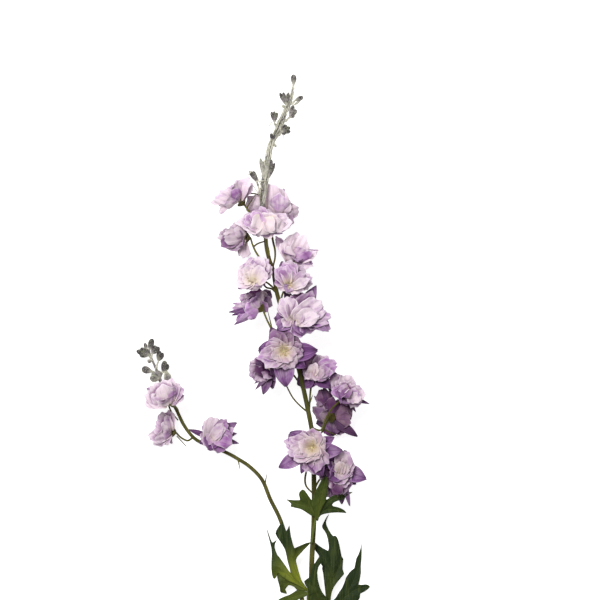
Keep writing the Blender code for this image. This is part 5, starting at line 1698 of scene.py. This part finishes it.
def add_sheet(shape, sheet, thickness):
    """Adds one thin closed sheet of a leaf, bowed about its ribs, with the ribs under it."""
    flat, faces = flat_sheet(sheet.outline)
    ribs = [smooth_route([at_pixel(*point) for point in rib], 10) for rib in sheet.ribs]
    height, away, along = about_ribs(flat, ribs)
    points = np.column_stack([flat, np.maximum(height, thickness / 2 + LEAF_OFF_TABLE)])
    faces, ways = facing_up(points, faces)
    edges = np.concatenate([faces[:, [0, 1]], faces[:, [1, 2]], faces[:, [2, 0]]]).tolist()
    known = set(map(tuple, edges))
    rim = np.array([edge for edge in edges if (edge[1], edge[0]) not in known])
    count, start = len(points), shape.count
    from_foot = np.linalg.norm(flat - at_pixel(*sheet.outline[0])[:2], axis=1)
    young = sheet.yellow * np.exp(-(from_foot / YOUNG_REACH) ** 4)
    # The sheet's lightness, its own tone and painted light and shade of how it is turned, darker past its
    # yellow foot
    tone = sheet.light * (1 - sheet.yellow * np.clip((from_foot - YOUNG_REACH) / YOUNG_FADE, 0.0, 0.9))
    shape.add(
        np.concatenate([points + ways * thickness / 2, points - ways * thickness / 2]),
        np.concatenate([faces, faces[:, ::-1] + count]), inside=np.repeat((1.0, 0.0), count),
        across=np.tile(away, 2), along=np.tile(along, 2), young=np.tile(young, 2), tone=np.tile(tone, 2),
    )
    rim = np.column_stack([rim[:, 0], rim[:, 0] + count, rim[:, 1] + count, rim[:, 1]]) + start
    shape.faces += rim.tolist()
    for rib in ribs:
        radii = np.linspace(*LEAF_RIB_RADII, len(rib))
        rib[:, 2] = np.maximum(rib[:, 2] - thickness / 2 - radii * 0.4, radii + 0.02)
        tube(shape, rib, radii, 6, young=sheet.yellow, tone=sheet.light)


def leaf_shape(leaf, sizes):
    """A cut leaf: its sheets, which overlap at their feet, and its stalk."""
    shape = Shape()
    for sheet in leaf.sheets:
        add_sheet(shape, sheet, sizes.leaf_thickness / MM)
    stalk = smooth_route(leaf.stalk)
    radii = np.linspace(1.0, 0.85, len(stalk)) * LEAF_STALK_RADIUS
    tube(shape, stalk, radii, 10, young=0.4, tone=0.4, inside=1.0)
    return shape


# Stage

def add_table(colours, stage):
    mesh = bpy.data.meshes.new("table")
    corners = [(x * TABLE_HALF, y * TABLE_HALF, 0) for x, y in ((-1, -1), (1, -1), (1, 1), (-1, 1))]
    mesh.from_pydata(corners, [], [(0, 1, 2, 3)])
    finish = Finish("table", 0.8)
    finish.shader.inputs["Emission Color"].default_value = (1.0, 1.0, 1.0, 1.0)
    finish.shader.inputs["Emission Strength"].default_value = stage.table_glow
    grain = finish.mix(finish.clouds(9.0, 2.0, 0.3, 0.7, 0.0, 0.25), colours.table, TABLE_GRAIN)
    mesh.materials.append(finish.paint(grain))
    table = add_object("table", mesh)
    table.location = (0.0, 0.0, -TABLE_DROP)


def add_lights(stage):
    light = bpy.data.lights.new("key", "SUN")
    light.energy = stage.key_light
    light.angle = stage.key_softness
    add_object("key", light).rotation_euler = Vector(LIGHT_FALLS).to_track_quat("-Z", "Y").to_euler()
    world = bpy.data.worlds.new("room")
    world.use_nodes = True
    background = world.node_tree.nodes["Background"]
    background.inputs["Color"].default_value = (1.0, 1.0, 1.0, 1.0)
    background.inputs["Strength"].default_value = stage.room_light
    bpy.context.scene.world = world


def add_camera():
    """A camera straight above the table, far enough off that near and far pieces keep their sizes."""
    data = bpy.data.cameras.new("camera")
    data.lens = data.sensor_width * CAMERA_DISTANCE / VIEW_WIDTH
    data.clip_end = CAMERA_SEES
    camera = add_object("camera", data)
    camera.location = (np.array((*VIEW_MIDDLE, VIEW_HEIGHT + CAMERA_DISTANCE)) + FOOT) * MM
    bpy.context.scene.camera = camera


# Operators and panel

class DELPHINIUM_OT_blooms(bpy.types.Operator):
    """Adds the double blooms: sepals, petals and stamens"""
    bl_idname = "delphinium.add_blooms"
    bl_label = "Add blooms"

    def execute(self, context):
        sizes, colours = context.scene.delphinium_sizes, context.scene.delphinium_colours
        finishes = {"sepals": sepal_finish(colours), "petals": petal_finish(colours)}
        stamen = stamen_finish(colours)
        shapes = {(bloom, part): bloom_whorls(bloom, part, sizes) for bloom in BLOOMS for part in finishes}
        shade_by_depth(list(shapes.values()))
        for (bloom, part), shape in shapes.items():
            # Painted shade beneath other petals, as strong as the bloom's place gives
            shape.values["shade_beneath"] = [np.minimum(shape.values["shade_beneath"][0] * shade_beneath_strength(bloom), 1.0)]
            node = f"bloom_{bloom.name}_{part}"
            shape.make(node + "_fine", finishes[part], part[:-1], node)
        for bloom in BLOOMS:
            bloom_centre(bloom, sizes).make(f"bloom_{bloom.name}_centre", stamen, "petal")
        return {"FINISHED"}


class DELPHINIUM_OT_stems(bpy.types.Operator):
    """Adds the stem with its branch, flower stalks, calyxes and bracts"""
    bl_idname = "delphinium.add_stems"
    bl_label = "Add stems"

    def execute(self, context):
        stem_shape().make("stem_fine", stem_finish(context.scene.delphinium_colours), "stem", "stem")
        return {"FINISHED"}


class DELPHINIUM_OT_tips(bpy.types.Operator):
    """Adds the felted tips with their buds and hairs"""
    bl_idname = "delphinium.add_tips"
    bl_label = "Add felted tips"

    def execute(self, context):
        colours = context.scene.delphinium_colours
        felt, hair = felt_finish(colours), hair_finish(colours)
        for tip in TIPS:
            body, down = tip_shapes(tip, context.scene.delphinium_sizes)
            body.make(tip.node + "_fine", felt, "felt", tip.node)
            down.make(tip.node + "_hairs", hair, "felt")
        return {"FINISHED"}


class DELPHINIUM_OT_leaves(bpy.types.Operator):
    """Adds the cut leaves"""
    bl_idname = "delphinium.add_leaves"
    bl_label = "Add leaves"

    def execute(self, context):
        sizes = context.scene.delphinium_sizes
        finish = leaf_finish(context.scene.delphinium_colours)
        for leaf in LEAVES:
            leaf_shape(leaf, sizes).make(leaf.node + "_fine", finish, "leaf", leaf.node)
        return {"FINISHED"}


class DELPHINIUM_OT_stage(bpy.types.Operator):
    """Adds the table, the lights and the camera"""
    bl_idname = "delphinium.add_stage"
    bl_label = "Add stage"

    def execute(self, context):
        add_table(context.scene.delphinium_colours, context.scene.delphinium_stage)
        add_lights(context.scene.delphinium_stage)
        add_camera()
        context.scene.view_settings.view_transform = "Standard"
        return {"FINISHED"}


class DELPHINIUM_PT_panel(bpy.types.Panel):
    bl_label = "Delphinium spike"
    bl_idname = "DELPHINIUM_PT_panel"
    bl_space_type = "VIEW_3D"
    bl_region_type = "UI"
    bl_category = "Delphinium"

    def draw(self, context):
        for label, group in (("Sizes", "sizes"), ("Colours", "colours"), ("Stage", "stage")):
            settings = getattr(context.scene, "delphinium_" + group)
            box = self.layout.box()
            box.label(text=label)
            for key in settings.__annotations__:
                box.prop(settings, key)
        for operator in OPERATORS:
            self.layout.operator(operator.bl_idname)


OPERATORS = (
    DELPHINIUM_OT_stage, DELPHINIUM_OT_stems, DELPHINIUM_OT_tips, DELPHINIUM_OT_leaves, DELPHINIUM_OT_blooms,
)
GROUPS = {
    "delphinium_sizes": DelphiniumSizes,
    "delphinium_colours": DelphiniumColours,
    "delphinium_stage": DelphiniumStage,
}


def register():
    for group in (*GROUPS.values(), *OPERATORS, DELPHINIUM_PT_panel):
        bpy.utils.register_class(group)
    for name, group in GROUPS.items():
        setattr(bpy.types.Scene, name, bpy.props.PointerProperty(type=group))


def unregister():
    for name in GROUPS:
        delattr(bpy.types.Scene, name)
    for group in (DELPHINIUM_PT_panel, *reversed(OPERATORS), *GROUPS.values()):
        bpy.utils.unregister_class(group)


def main():
    register()
    bpy.ops.delphinium.add_stage()
    bpy.ops.delphinium.add_stems()
    bpy.ops.delphinium.add_tips()
    bpy.ops.delphinium.add_leaves()
    bpy.ops.delphinium.add_blooms()


if __name__ == "__main__":
    main()
